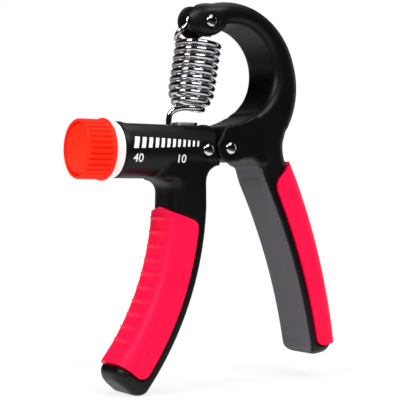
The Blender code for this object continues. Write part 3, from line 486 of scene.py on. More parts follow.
def blended(obj, centre, reach, passes):
    """Softens the skin round a place, where two forms of the moulding run together."""
    group = obj.vertex_groups.new(name="soft")
    for vertex in obj.data.vertices:
        x, _, z = in_mm(vertex.co)
        weight = 1 - ease(math.hypot(x - centre[0], z - centre[1]) / reach, 0.45, 1.0)
        if weight > 0.0:
            group.add([vertex.index], weight, "REPLACE")
    modify(obj, "SMOOTH", factor=0.5, iterations=passes, vertex_group="soft")
    obj.vertex_groups.clear()


def shaded(obj, angle):
    """Shades a piece smooth, up to an angle between its faces."""
    alone(obj)
    bpy.ops.object.shade_smooth_by_angle(angle=math.radians(angle))


def add_piece(obj, body, material, nodes=(), angle=40):
    """Gives a finished piece its shading, finish and body."""
    settled(obj)
    shaded(obj, angle)
    obj.data.materials.clear()
    obj.data.materials.append(material)
    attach(obj, body)
    if nodes:
        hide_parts(*nodes)


# Materials


def colour(code):
    """An sRGB hex value as linear RGBA."""
    channels = [int(code[k : k + 2], 16) / 255 for k in (1, 3, 5)]
    linear = [c / 12.92 if c <= 0.04045 else ((c + 0.055) / 1.055) ** 2.4 for c in channels]
    return (*linear, 1.0)


def grain(size):
    """Pattern scale for a real size in mm."""
    return 1 / (size * MM)


def node(tree, kind, inputs=None, **settings):
    """Adds a shader node. An input is a value, an output to link, or a node whose first live
    output is linked. A Mix node's two colours are its inputs 6 and 7."""
    new = tree.nodes.new("ShaderNode" + kind)
    for name, value in settings.items():
        setattr(new, name, value)
    for name, value in (inputs or {}).items():
        if isinstance(value, bpy.types.Node):
            value = next(output for output in value.outputs if output.enabled)
        if isinstance(value, bpy.types.NodeSocket):
            tree.links.new(value, new.inputs[name])
        else:
            new.inputs[name].default_value = value
    return new


def blank(name):
    """A node material with nothing in it yet."""
    material = bpy.data.materials.new(name)
    material.use_nodes = True
    material.node_tree.nodes.clear()
    return material, material.node_tree


def finished(recipe):
    """The material of a recipe, under the recipe's name. A recipe gets the node tree and the
    place on the piece. It gives the pattern and the two colours of the tint, and the shader's
    other inputs."""
    material, tree = blank(recipe.__name__)
    place = node(tree, "TexCoord").outputs["Object"]
    (pattern, dark, light), values = recipe(tree, place)
    shades = {"Factor": pattern, 6: colour(dark), 7: colour(light)}
    values["Base Color"] = node(tree, "Mix", shades, data_type="RGBA")
    node(tree, "OutputMaterial", {"Surface": node(tree, "BsdfPrincipled", values)})
    return material


def polished_abs(tree, place):
    """Injection-moulded black ABS from a polished mould: deep black with a soft, slightly
    uneven gloss, and the faint flow waves of a thick moulding. The fine unevenness is drawn
    coarser than it is, so that it shows."""
    flow = node(tree, "TexNoise", {"Vector": place, "Scale": grain(14.0)})
    fine = node(tree, "TexNoise", {"Vector": place, "Scale": grain(0.5), "Detail": 3.0})
    gloss = node(tree, "MapRange", {"Value": fine, "To Min": 0.34, "To Max": 0.48})
    waves = node(tree, "Bump", {"Height": flow, "Distance": 0.02 * MM})
    skin = node(tree, "Bump", {"Height": fine, "Distance": 0.003 * MM, "Normal": waves})
    values = {"Roughness": gloss, "Normal": skin, "IOR": 1.5, "Specular IOR Level": 0.27}
    return (flow, "#030204", "#09080B"), values


def spark_abs_painted_light(tree, place):
    """Black ABS from a spark-eroded mould, with an even, fine grain and fine draw lines along
    the face. Its dark grey colour is painted light: it stands for the light that the grain
    scatters off the black. Pits and lines are drawn coarser than they are, so that they show."""
    pits = {"Vector": place, "Scale": grain(0.45), "Detail": 4.0, "Roughness": 0.6}
    pits = node(tree, "TexNoise", pits)
    cloud = node(tree, "TexNoise", {"Vector": place, "Scale": grain(18.0)})
    across = node(tree, "Mapping", {"Vector": place, "Scale": (0.12, 1.0, 0.12)})
    drawn = node(tree, "TexNoise", {"Vector": across, "Scale": grain(0.7), "Detail": 2.0})
    gloss = node(tree, "MapRange", {"Value": drawn, "To Min": 0.40, "To Max": 0.66})
    relief = node(tree, "Bump", {"Height": pits, "Distance": 0.03 * MM})
    lines = node(tree, "Bump", {"Height": drawn, "Distance": 0.03 * MM, "Normal": relief})
    # The grey tint is painted light on black plastic, not the plastic's own colour.
    return (cloud, "#454048", "#504B53"), {"Roughness": gloss, "Normal": lines, "IOR": 1.54}


def etched_tpr(tree, place):
    """Overmoulded red TPR: a dry, even, deep red with hardly any bloom where it turns away,
    and a fine matt grain from the etched mould, drawn coarser than it is, so that it shows."""
    etch = {"Vector": place, "Scale": grain(0.4), "Detail": 3.0, "Roughness": 0.6}
    etch = node(tree, "TexNoise", etch)
    cloud = node(tree, "TexNoise", {"Vector": place, "Scale": grain(16.0)})
    matt = node(tree, "MapRange", {"Value": etch, "To Min": 0.34, "To Max": 0.5})
    relief = node(tree, "Bump", {"Height": etch, "Distance": 0.025 * MM})
    values = {"Roughness": matt, "Normal": relief, "IOR": 1.42, "Specular IOR Level": 0.15}
    values |= {"Sheen Weight": 0.02, "Sheen Roughness": 0.4, "Sheen Tint": colour("#FF5A72")}
    return (cloud, "#F8023C", "#FE0844"), values


def satin_abs(tree, place):
    """Injection-moulded orange-red ABS: bright and satin, with a slightly matt skin."""
    skin = node(tree, "TexNoise", {"Vector": place, "Scale": grain(0.6), "Detail": 3.0})
    cloud = node(tree, "TexNoise", {"Vector": place, "Scale": grain(10.0)})
    gloss = node(tree, "MapRange", {"Value": skin, "To Min": 0.3, "To Max": 0.44})
    relief = node(tree, "Bump", {"Height": skin, "Distance": 0.012 * MM})
    values = {"Roughness": gloss, "Normal": relief, "IOR": 1.46, "Specular IOR Level": 0.2}
    return (cloud, "#F51C02", "#FC2A04"), values


def natural_acetal(tree, place):
    """Turned natural acetal: milky white with a soft wax-like gloss and faint tool lines."""
    cloud = node(tree, "TexNoise", {"Vector": place, "Scale": grain(6.0)})
    lines = {"Vector": place, "Scale": grain(0.5) / 2, "Distortion": 0.3}
    lines = node(tree, "TexWave", lines, bands_direction="X")
    gloss = node(tree, "MapRange", {"Value": lines, "To Min": 0.36, "To Max": 0.42})
    relief = node(tree, "Bump", {"Height": lines, "Distance": 0.004 * MM})
    return (cloud, "#EDE5E6", "#F6F0F0"), {"Roughness": gloss, "Normal": relief, "IOR": 1.48}


def chrome_plate(tree, place):
    """Bright chromium plate on steel wire and rivets: near-mirror with fine polishing haze."""
    haze = node(tree, "TexNoise", {"Vector": place, "Scale": grain(1.2), "Detail": 3.0})
    gloss = node(tree, "MapRange", {"Value": haze, "To Min": 0.03, "To Max": 0.1})
    relief = node(tree, "Bump", {"Height": haze, "Distance": 0.004 * MM})
    values = {"Roughness": gloss, "Normal": relief, "Metallic": 1.0}
    return (haze, "#CACACF", "#E6E6EA"), values


def zinc_plate(tree, place):
    """Zinc-plated pressed steel: cool grey, satin, with a cloudy plating bloom."""
    bloom = {"Vector": place, "Scale": grain(2.5), "Detail": 3.0, "Roughness": 0.6}
    bloom = node(tree, "TexNoise", bloom)
    fine = node(tree, "TexNoise", {"Vector": place, "Scale": grain(0.5)})
    gloss = node(tree, "MapRange", {"Value": bloom, "To Min": 0.34, "To Max": 0.56})
    relief = node(tree, "Bump", {"Height": fine, "Distance": 0.006 * MM})
    values = {"Roughness": gloss, "Normal": relief, "Metallic": 1.0}
    return (bloom, "#B2B2B7", "#D2D2D6"), values


def pad_print_ink(tree, place):
    """White pad-printing ink: thin, flat and slightly chalky."""
    chalk = node(tree, "TexNoise", {"Vector": place, "Scale": grain(0.8), "Detail": 3.0})
    flat = node(tree, "MapRange", {"Value": chalk, "To Min": 0.48, "To Max": 0.64})
    return (chalk, "#DCDCE0", "#F1F1F4"), {"Roughness": flat, "IOR": 1.5}


BLACK = finished(polished_abs)
# Black plastic painted grey for the light that falls on it: the covers and the palm's inner face
PAINTED_LIGHT_GREY = finished(spark_abs_painted_light)
RED = finished(etched_tpr)
ORANGE = finished(satin_abs)
WHITE = finished(natural_acetal)
CHROME = finished(chrome_plate)
ZINC = finished(zinc_plate)
INK = finished(pad_print_ink)


# Handles


class Handle:
    """A handle along an arc that hangs from its top point, down and outward."""

    def __init__(self, side, top, lean, bend_radius, length, widths):
        self.side = side
        self.top = top
        self.lean = math.radians(lean)
        self.bend = 1 / bend_radius
        self.length = length
        self.widths = widths

    def centre(self, s):
        """Middle of the handle's side view, s mm along the arc."""
        now = self.lean + self.bend * s
        x = self.top[0] + self.side * (math.cos(self.lean) - math.cos(now)) / self.bend
        z = self.top[1] - (math.sin(now) - math.sin(self.lean)) / self.bend
        return x, z

    def outward(self, s):
        """Direction away from the other handle."""
        now = self.lean + self.bend * s
        return self.side * math.cos(now), math.sin(now)

    def half_width(self, s):
        share = min(max(s / self.length, 0.0), 1.0)
        return (self.widths[0] + (self.widths[1] - self.widths[0]) * share) / 2

    def place(self, s, across, depth):
        """A place along, across and through the handle."""
        x, z = self.centre(s)
        out = self.outward(s)
        return at(x + out[0] * across, depth, z + out[1] * across)


FINGER = Handle(-1, (-16.65, -22.0), 2.75, 108.1, 73.0, (14.05, 14.05))
PALM = Handle(1, (27.7, -16.5), 24.7, -232.9, 68.0, (14.75, 12.8))


def round_section(middle, outward, inner, outer, half_depth, rounds):
    """A rounded rectangle across a handle or the ring, as in the part's source."""
    steps = 9
    room = min(half_depth, (inner + outer) / 2) * 0.96
    near, far = (min(radius, room) for radius in rounds)
    corners = [(outer - far, far - half_depth, far, -90), (outer - far, half_depth - far, far, 0)]
    corners += [(near - inner, half_depth - near, near, 90)]
    corners += [(near - inner, near - half_depth, near, 180)]
    ring = []
    for across, depth, radius, start in corners:
        for step in range(steps + 1):
            angle = math.radians(start + 90 * step / steps)
            a = across + radius * math.cos(angle)
            y = depth + radius * math.sin(angle)
            ring.append(at(middle[0] + outward[0] * a, y, middle[1] + outward[1] * a))
    return ring


def handle_rings(handle, start, stations, flare):
    """Sections down a handle, with a flare at its top and a rounded end."""
    places = [(start, 0.0)]
    if flare(start):
        places += [(FLARE_END - FLARE * (1 - k / 12), 0.0) for k in range(12)]
    body_end = handle.length - END_ROUND
    places += [(s, 0.0) for s in spread(0.0, body_end, stations)]
    for turn in turns(10, 81, 10):
        places.append((body_end + END_ROUND * math.sin(turn), END_ROUND * (1 - math.cos(turn))))
    rings = []
    for s, inset in places:
        half = handle.half_width(s) - inset
        place = (handle.centre(s), handle.outward(s))
        size = (half, half + flare(s), HALF_DEPTH - inset, (INNER_ROUND, OUTER_ROUND))
        rings.append(round_section(*place, *size))
    return rings


def barrel_fillet(s):
    """Fillet between the finger handle and the barrel."""
    room = min(max(FLARE_END - s, 0.0), FLARE)
    return FLARE - math.sqrt(FLARE**2 - room**2)


def plain(*place):
    """Neither fillet nor ribs."""
    return 0.0


# Soft grips


def grip_shares(length, stations):
    """Shares of a soft grip's length, closer together at its rounded corners."""
    ends = [(1 - math.cos(turn)) * GRIP_CORNER / length for turn in turns(0, 90, 10)]
    corner = GRIP_CORNER / length
    middle = spread(corner, 1.0 - corner, stations)
    return ends + middle + [1.0 - end for end in reversed(ends)]


def round_the_grip(edge, depth, side, corner, share):
    """(across, depth, way into the corner) at a share of the way round a grip's section."""
    straight = side - corner - edge
    quarter = corner * math.pi / 2
    face = 2 * (depth - corner)
    total = 2 * straight + 2 * quarter + face
    turn = 1 if share > 0.5 else -1
    way = min(share, 1.0 - share) * total
    if way < straight:
        return edge + way, turn * depth, way - straight
    if way < straight + quarter:
        angle = (way - straight) / corner
        across = side - corner + corner * math.sin(angle)
        return across, turn * (depth - corner + corner * math.cos(angle)), way - straight
    return side, turn * (total / 2 - way), way - straight


def finger_ribs(s, way):
    """Thin ridges across the outer side that run out to points on its rounded edges, with
    shallow scoops between them, in mm."""
    along = (s - RIB_FIRST) / RIB_PITCH
    nearest = min(max(round(along), 0), RIB_COUNT - 1)
    off = abs(along - nearest) * RIB_PITCH
    reach = ease(way, 3.5, 11.0)
    ridge = RIB_HEIGHT * reach * math.exp(-((off / (0.25 + 0.45 * reach)) ** 2))
    inside = ease(along, -0.9, -0.4) * (1 - ease(along, RIB_COUNT - 0.6, RIB_COUNT - 0.1))
    scoop = SCOOP_DEPTH * ease(way, -2.0, 10.0) * inside
    return ridge - scoop


def grip_shell(name, handle, tops, bottom, wrapped, counts, gap, proud, ribs):
    """A soft grip, or with a gap the recess that takes it. The slant of its top edge runs
    across the faces alone, or wrapped from the middle of the outer side on."""
    columns, stations = counts
    shares = grip_shares(bottom - tops[1], stations)

    def point(i, j, inside):
        share = shares[j]
        half = handle.half_width(tops[0] + share * (bottom - tops[0]))
        room = min(share, 1.0 - share) * (bottom - tops[1])
        edge = GRIP_MARGIN - half - gap
        if room < GRIP_CORNER:
            edge += GRIP_CORNER - math.sqrt(GRIP_CORNER**2 - (GRIP_CORNER - room) ** 2)
        depth = HALF_DEPTH + GRIP_FACE_PROUD
        side = half + GRIP_PROUD
        if inside:
            depth -= GRIP_FACE_THICK + gap
            side -= GRIP_THICK + gap
            corner = OUTER_ROUND - GRIP_FACE_THICK
        else:
            depth += proud
            side += proud
            corner = OUTER_ROUND
        a, y, way = round_the_grip(edge, depth, side, corner, i / (columns - 1))
        slant = min(max((half - a) / (2 * half - GRIP_MARGIN), 0.0), 1.0)
        if wrapped:
            slant = abs(2 * i / (columns - 1) - 1)
        start = tops[0] + slant * (tops[1] - tops[0]) - gap
        s = start + share * (bottom + gap - start)
        if not inside:
            lift = ribs(s, way)
            a += lift * min(max(way, 0.0) / 3.0, 1.0)
            y += math.copysign(lift, y) * (1 - ease(way, 3.0, 8.0))
        return handle.place(s, a, y)

    return laid_shell(name, columns, len(shares), point)


FINGER_GRIP = (FINGER, (0.6, 4.9), 67.5, True)
PALM_GRIP = (PALM, (-9.2, -5.2), 64.5, False)
FINGER_COVER = (FINGER, 2.0, 65.0)
PALM_COVER = (PALM, -10.0, 61.0)


# Inner covers


def cover_bar(name, handle, top, bottom, gap):
    """The lid in a handle's inner face, or with a gap the recess that takes it."""
    top -= gap
    bottom += gap
    ends = [COVER_ARCH * (1 - math.cos(turn)) for turn in turns(12, 84, 8)]
    stations = [top + end for end in ends]
    stations += spread(top + COVER_ARCH, bottom - COVER_ARCH, 24)
    stations += [bottom - end for end in reversed(ends)]
    rings = []
    for s in stations:
        room = min(s - top, bottom - s, COVER_ARCH)
        share = math.sqrt(1 - (1 - room / COVER_ARCH) ** 2)
        width = (COVER_HALF_WIDTH + gap) * (0.35 + 0.65 * share)
        inner = handle.half_width(s) + (COVER_OPEN if gap else 0.0)
        outer = COVER_THICK + gap - handle.half_width(s)
        corners = ((-inner, -width), (outer, -width), (outer, width), (-inner, width))
        rings.append([handle.place(s, a, y) for a, y in corners])
    return drawn_bar(name, rings)


# Rivets


def rivet(name, seat, centre, body, node_name):
    """A rivet with a polished, slightly flattened dome on each side."""
    foot = seat + GAP
    side = [(foot, 1.4), (foot, RIVET_HEAD - HEAD_RIM), (foot + HEAD_RIM, RIVET_HEAD)]
    for turn in turns(10, 90, 8):
        rise = HEAD_RIM + (HEAD_HEIGHT - HEAD_RIM) * math.sin(turn)
        side.append((foot + rise, RIVET_HEAD * math.cos(turn) ** 0.8))
    side.append((foot + HEAD_HEIGHT, 0.0))
    profile = [(-place, radius) for place, radius in reversed(side)] + side
    obj = turned(name, profile, "Y", centre, 48)
    add_piece(obj, body, CHROME, [node_name], 30)


# Grip moulding


def sink_heads(shell, seat, depth, centre):
    """Cuts the round seats for a rivet's heads into both sides of a moulding."""
    for low in (-seat - depth, seat):
        carve(shell, "DIFFERENCE", rod("seat", HEAD_SEAT, low, low + depth, centre))


def build_grip_body():
    """Barrel and finger handle in one moulding, with its cover and soft grip."""
    axis = (0.0, BARREL_Z)
    start = BARREL_END - BARREL_END_ROUND
    profile = [(BARREL_MOUTH, 0.0), (BARREL_MOUTH, BARREL_RADIUS - BARREL_RIM_ROUND)]
    profile.append((BARREL_MOUTH + BARREL_RIM_ROUND, BARREL_RADIUS))
    profile += [(x, BARREL_RADIUS) for x in spread(BARREL_MOUTH + 2.0, start, 12)]
    for turn in turns(8, 85, 8):
        drop = BARREL_END_ROUND * (1 - math.cos(turn))
        profile.append((start + BARREL_END_ROUND * math.sin(turn), BARREL_RADIUS - drop))
    profile.append((BARREL_END, 0.0))
    shell = turned("grip_shell", profile, "X", axis, 128)
    long = (FINGER.top[0], UNDERCUT[0])
    web = block("web", long, (-WEB_HALF_DEPTH, WEB_HALF_DEPTH), (UNDERCUT[1], BARREL_Z))
    handle = drawn_bar("handle", handle_rings(FINGER, FINGER_START, 30, barrel_fillet))
    carve(shell, "UNION", web, handle)
    top = UNDERCUT[1] + UNDERCUT_RADIUS
    low = UNDERCUT[1] - UNDERCUT_DROP
    undercut = arc(UNDERCUT, UNDERCUT_RADIUS, 180, 90, 20)
    undercut += [(-BARREL_END, top), (-BARREL_END, low), (UNDERCUT[0] - UNDERCUT_RADIUS, low)]
    carve(shell, "DIFFERENCE", plate("undercut", undercut, UNDERCUT_THROUGH))
    bore = rod("bore", BORE_RADIUS, BARREL_MOUTH - 1.0, BORE_END, axis, "X", 96)
    slot = block("slot", SLOT, (-SLOT_HALF_WIDTH, SLOT_HALF_WIDTH), (BLOCK_TOP - 2.0, CUT_REACH))
    joint = rod("joint", LUG_RADIUS + TURN_GAP, -CUT_REACH, CUT_REACH, (0.0, 0.0), steps=96)
    half = TONGUE_HALF_THICK + GAP
    low = -TONGUE_RADIUS - GAP
    pocket = block("pocket", (BLOCK_LEFT - GAP, 0.0), (-half, half), (low, BLOCK_TOP + GAP))
    hole = rod("hole", RIVET_HOLE, -CUT_REACH, CUT_REACH, BODY_RIVET)
    carve(shell, "DIFFERENCE", bore, slot, joint, pocket, hole)
    sink_heads(shell, BODY_RIVET_SEAT, BODY_SEAT_CUT, BODY_RIVET)
    recess = grip_shell("recess", *FINGER_GRIP, RECESS_COUNTS, GAP, RECESS_PROUD, plain)
    carve(shell, "DIFFERENCE", recess)
    as_moulded(shell, *BODY_SKIN)
    blended(shell, *BARREL_JOIN)
    carve(shell, "DIFFERENCE", cover_bar("recess", *FINGER_COVER, COVER_SEAM))
    add_piece(shell, "grip_body", BLACK, ["body_moulding"], 60)

    cover = cover_bar("finger_cover", *FINGER_COVER, 0.0)
    rounded(cover, FINGER_COVER_EDGE)
    # The finger cover's grey is painted light on black plastic.
    add_piece(cover, "grip_body", PAINTED_LIGHT_GREY, ["body_inner_cover"])
    grip = grip_shell("finger_grip", *FINGER_GRIP, FINGER_COUNTS, 0.0, 0.0, finger_ribs)
    rounded(grip, GRIP_EDGE, angle=GRIP_CREASE)
    add_piece(grip, "grip_body", RED, ["left_grip_cover"], GRIP_CREASE)
    rivet("barrel_rivet", BODY_RIVET_SEAT, BODY_RIVET, "grip_body", "body_rivet")
    return shell


# Spring arm


def ring_depth(x):
    """Half depth of the ring, which narrows in plan like an ellipse towards its tip."""
    reach = min(max((RING_TAPER_FROM - x) / RING_TAPER, 0.0), 0.97)
    return RING_HALF_DEPTH * math.sqrt(1 - reach**2)


def ring_row(angle):
    """Inner point, outer point, half depth and corner radii of the ring along a ray."""
    ray = (math.cos(math.radians(angle)), math.sin(math.radians(angle)))
    dx = WINDOW[0] - RING[0]
    dz = WINDOW[1] - RING[1]
    along = dx * ray[0] + dz * ray[1]
    reach = math.sqrt(along**2 - dx**2 - dz**2 + RING_RADIUS**2) - along
    inner = (WINDOW[0] + ray[0] * WINDOW_RADIUS, WINDOW[1] + ray[1] * WINDOW_RADIUS)
    outer = (WINDOW[0] + ray[0] * reach, WINDOW[1] + ray[1] * reach)
    depth = ring_depth((inner[0] + outer[0]) / 2)
    return Vector((*inner, *outer, depth, *RING_ROUNDS))


def handle_row(handle, s):
    """The same values across a handle."""
    x, z = handle.centre(s)
    out = handle.outward(s)
    half = handle.half_width(s)
    inner = (x - out[0] * half, z - out[1] * half)
    outer = (x + out[0] * half, z + out[1] * half)
    return Vector((*inner, *outer, HALF_DEPTH, INNER_ROUND, OUTER_ROUND))


def row_ring(row):
    """The section that a row of values describes."""
    inner = Vector((row[0], row[1]))
    outer = Vector((row[2], row[3]))
    half = (outer - inner).length / 2
    middle = (inner + outer) / 2
    out = (outer - inner).normalized()
    return round_section(middle, out, half, half, row[4], (row[5], row[6]))


def arm_rings():
    """Sections from the ring's tip round to the end of the palm handle."""
    rings = [row_ring(ring_row(angle)) for angle in spread(RING_FROM, RING_TO + 4.0, 64)]
    rows = [ring_row(RING_TO + 9.6), ring_row(RING_TO)]
    rows += [Vector((*inner, *outer, depth, *NECK_ROUNDS)) for inner, outer, depth in NECK]
    rows += [handle_row(PALM, s) for s in (-8.0, 0.0, 6.5)]
    rings += [row_ring(row) for row in curve_through(rows, 5)]
    return rings + handle_rings(PALM, -0.001, 26, plain)[1:]


def tip_rings():
    """Sections of the round tip, across the barrel's direction."""
    rings = []
    for turn in turns(30, 175, 6):
        x = PIN[0] + TIP_REACH * math.cos(turn)
        half = TIP_HALF_HEIGHT * math.sin(turn)
        rings.append(round_section((x, TIP_Z), (0, 1), half, half, ring_depth(x), TIP_ROUNDS))
    return rings


def lug_outline():
    """Outline of the pivot lug, from the corner above the pivot round its underside."""
    outline = arc(LUG_CORNER, LUG_CORNER_RADIUS, 100, 178, 12)
    outline += arc((0.0, 0.0), LUG_RADIUS, 136, 268, 36)
    arch = [Vector(point) for point in ((0.2, -5.5), *LUG_ARCH, LUG_ARCH_END[0], (17.0, -8.0))]
    outline += [(p.x, p.y) for p in curve_through(arch, 5)[3:]]
    outline += LUG_ARCH_END
    outline += arc(FLOOR, FLOOR_RADIUS, -58, -81, 20)
    return outline


def build_arm():
    """Ring, lug and palm handle in one moulding, with its cover, grip and rivets."""
    shell = drawn_bar("arm_shell", arm_rings())
    tip = drawn_bar("tip", tip_rings())
    lug = plate("lug", lug_outline(), LUG_HALF_DEPTH)
    rounded(lug, LUG_EDGE, 5, 60)
    carve(shell, "UNION", tip, lug)
    half = TONGUE_HALF_THICK + GAP
    tongue = rod("tongue", LUG_RADIUS + 0.4, -half, half, (0.0, 0.0), steps=96)
    wide = (-FORK_HALF_WIDTH, FORK_HALF_WIDTH)
    tall = (PIN[1] - CUT_REACH, PIN[1] + CUT_REACH)
    fork = block("fork", (PIN[0] - CUT_REACH, FORK_END), wide, tall)
    holes = [rod("hole", RIVET_HOLE, -ARM_CUT_REACH, ARM_CUT_REACH, c) for c in ((0.0, 0.0), PIN)]
    carve(shell, "DIFFERENCE", tongue, fork, *holes)
    sink_heads(shell, PIN_SEAT, PIN_SEAT_CUT, PIN)
    recess = grip_shell("recess", *PALM_GRIP, RECESS_COUNTS, GAP, RECESS_PROUD, plain)
    carve(shell, "DIFFERENCE", recess)
    as_moulded(shell, *ARM_SKIN)
    blended(shell, *NECK_JOIN)
    blended(shell, *WINDOW_JOIN)
    carve(shell, "DIFFERENCE", cover_bar("recess", *PALM_COVER, COVER_SEAM))
    add_piece(shell, "spring_arm", BLACK, ["arm_moulding"], 60)
    # Faces of the palm's inner face that turn to the left take the grey finish: painted light on
    # black plastic.
    shell.data.materials.append(PAINTED_LIGHT_GREY)
    for face in shell.data.polygons:
        x, _, z = in_mm(face.center)
        if x > PALM_FACE_X and z < PALM_FACE_Z and face.normal.x < PALM_FACE_TURN:
            face.material_index = 1

    cover = cover_bar("palm_cover", *PALM_COVER, 0.0)
    rounded(cover, PALM_COVER_EDGE)
    # The palm cover's grey is painted light on black plastic.
    add_piece(cover, "spring_arm", PAINTED_LIGHT_GREY, ["arm_inner_cover"])
    grip = grip_shell("palm_grip", *PALM_GRIP, PALM_COUNTS, 0.0, 0.0, plain)
    rounded(grip, GRIP_EDGE, angle=GRIP_CREASE)
    add_piece(grip, "spring_arm", RED, ["right_grip_cover"], GRIP_CREASE)
    rivet("hinge_rivet", LUG_HALF_DEPTH, (0.0, 0.0), "spring_arm", "pivot_rivet")
    rivet("fork_rivet", PIN_SEAT, PIN, "spring_arm", "spring_pin_rivet")


# Knob, collar and shackle


def build_knob():
    """Ribbed knob with its grooved cap, and the collar behind it."""
    axis = (0.0, BARREL_Z)
    cavity = KNOB_RADIUS - KNOB_WALL
    seat = CAP_RADIUS + CAP_GAP
    floor = KNOB_LEFT + KNOB_FLOOR
    profile = [(floor, seat), (KNOB_LEFT + 0.2, seat)]
    profile += [(KNOB_LEFT + 0.05, seat + 0.15), (KNOB_LEFT, seat + 0.3)]
    for turn in turns(15, 91, 15):
        x = KNOB_LEFT + 0.75 * (1 - math.cos(turn))
        profile.append((x, KNOB_RADIUS - KNOB_EDGE + KNOB_EDGE * math.sin(turn)))
    profile += [(x, KNOB_RADIUS) for x in spread(KNOB_LEFT + 1.0, KNOB_RIGHT - 1.5, 28)]
    profile += [(KNOB_RIGHT - 1.2, KNOB_FLANGE - 0.3), (KNOB_RIGHT - 1.0, KNOB_FLANGE)]
    profile += [(KNOB_RIGHT - 0.4, KNOB_FLANGE), (KNOB_RIGHT - 0.1, KNOB_FLANGE - 0.3)]
    profile += [(KNOB_RIGHT, KNOB_FLANGE - 0.6), (KNOB_RIGHT, cavity)]
    profile += [(KNOB_RIGHT - KNOB_WEB, cavity), (KNOB_RIGHT - KNOB_WEB, KNOB_HUB)]
    profile += [(floor, KNOB_HUB), (floor, seat)]
    knob = turned("knob_body", profile, "X", axis, KNOB_RIBS * 10)
    middle = at(0, axis[0], axis[1])
    for vertex in knob.data.vertices:
        x = in_mm(vertex.co)[0]
        y = vertex.co.y - middle.y
        z = vertex.co.z - middle.z
        if math.hypot(y, z) < (seat + 0.4) * MM:
            continue
        ribbed = ease(x, KNOB_LEFT - 0.05, KNOB_LEFT + 0.8)
        ribbed *= 1 - ease(x, KNOB_RIGHT - 1.8, KNOB_RIGHT - 1.1)
        wave = 0.5 + 0.5 * math.cos(math.atan2(y, z) * KNOB_RIBS)
        press = 1 - KNOB_RIB_DEPTH / KNOB_RADIUS * ribbed * wave**1.4
        vertex.co.y = middle.y + y * press
        vertex.co.z = middle.z + z * press
    add_piece(knob, "knob_group", ORANGE, ["knob"], 50)

    face = KNOB_LEFT + 0.03
    back = KNOB_LEFT + CAP_THICK
    dish = spread(0.0, CAP_RADIUS - 0.9, 16)
    profile = [(face + CAP_DISH * (radius / CAP_RADIUS) ** 2, radius) for radius in dish]
    profile += [(face + 0.5, CAP_RADIUS - 0.66), (face + 0.75, CAP_RADIUS - 0.46)]
    profile += [(face + 1.1, CAP_RADIUS - 0.3), (back, CAP_RADIUS - 0.1), (back, 0.0)]
    cap = turned("knob_disc", profile, "X", axis, 128)
    add_piece(cap, "knob_group", ORANGE, ["knob_cap"], 30)

    left = KNOB_RIGHT + GAP
    right = BARREL_MOUTH - GAP
    hole = SCREW_RADIUS + SLIDE_GAP
    spigot = BORE_RADIUS - GAP
    profile = [(left, hole), (left, COLLAR_RADIUS - COLLAR_EDGE)]
    profile += [(left + 0.12, COLLAR_RADIUS - 0.12), (left + COLLAR_EDGE, COLLAR_RADIUS)]
    profile += [(right - 0.3, COLLAR_RADIUS), (right, COLLAR_RADIUS - 0.3), (right, spigot)]
    profile += [(right + COLLAR_SPIGOT, spigot), (right + COLLAR_SPIGOT, hole), (left, hole)]
    collar = turned("collar_ring", profile, "X", axis, 128)
    add_piece(collar, "grip_body", WHITE, ["barrel_collar"], 30)


def build_shackle():
    """Pressed steel shackle that stands through the slot over the spring's hook."""
    half = SLOT_HALF_WIDTH - SLIDE_GAP
    ends = (SHACKLE_X - SHACKLE_LENGTH / 2, SHACKLE_X + SHACKLE_LENGTH / 2)
    low = NUT_TOP + GAP + BARREL_Z
    top = SHACKLE_TOP + BARREL_Z
    shackle = block("shackle", ends, (-half, half), (low, top))
    rounded(shackle, SHACKLE_ROUND, 5)
    inside = half - SHACKLE_LEG
    long = (ends[0] - 1.0, ends[1] + 1.0)
    tunnel = block("tunnel", long, (-inside, inside), (low - 1.0, top - SHACKLE_THICK))
    carve(shackle, "DIFFERENCE", tunnel)
    rounded(shackle, SHACKLE_EDGE, 2, 50)
    add_piece(shackle, "slider_group", ZINC, ["slider_shackle"])


# Spring


def upright(points):
    """(x, z) points as places in the middle plane."""
    return [Vector((x, 0.0, z)) for x, z in points]


def coil_point(curls):
    """A point of the coil, counted in curls from the front of the lowest one."""
    bottom, top = upright((COIL_BOTTOM, COIL_TOP))
    rise = top - bottom
    across = Vector((rise.z, 0.0, -rise.x)).normalized()
    taper = math.sin(min(max(curls / COIL_TAPER_TURNS, 0.0), 1.0) * math.pi / 2)
    radius = COIL_END_RADIUS + (COIL_RADIUS - COIL_END_RADIUS) * taper
    angle = TURN * (curls - 0.25)
    side = across * math.cos(angle) + Vector((0.0, math.sin(angle), 0.0))
    return bottom + rise * curls / COIL_TURNS + side * radius


def spring_runs():
    """Middle lines of the lower and the upper part of the spring, in mm."""
    run_z = SHACKLE_TOP - SHACKLE_THICK - GAP - WIRE_RADIUS + BARREL_Z
    bend_z = run_z + HOOK_BEND
    hook = [HOOK_END]
    hook += arc((HOOK_END[0] - HOOK_BEND, bend_z), HOOK_BEND, 0, -90, 12)
    hook += arc((HOOK_LEG_X + HOOK_BEND, bend_z), HOOK_BEND, -90, -180, 12)
    lower = upright(hook)
    leg = [(HOOK_LEG_X, 0.0, HOOK_LEG_TOP - 2.4), (HOOK_LEG_X, 0.0, HOOK_LEG_TOP)]
    lead = [Vector(point) for point in (*leg, *HOOK_LEAD)]
    lead += [coil_point(0.0), coil_point(0.28)]
    lower += curve_through(lead, 12)
    split = round(SPRING_SPLIT * COIL_STEPS)
    last = round(COIL_TURNS * COIL_STEPS)
    lower += [coil_point(step / COIL_STEPS) for step in range(split + 1)]
    upper = [coil_point(step / COIL_STEPS) for step in range(split, last)]
    climb = [coil_point(COIL_TURNS - 0.3), coil_point(COIL_TURNS)]
    climb += [Vector(point) for point in EYE_CLIMB]
    eye = ROLLER_RADIUS + GAP + WIRE_RADIUS
    climb += upright(arc(PIN, eye, EYE_START, 0, 10)[:2])
    upper += curve_through(climb, 9)
    upper += upright([*arc(PIN, eye, EYE_START, 0, 30), (PIN[0] + eye, EYE_END_Z)])
    return lower, upper


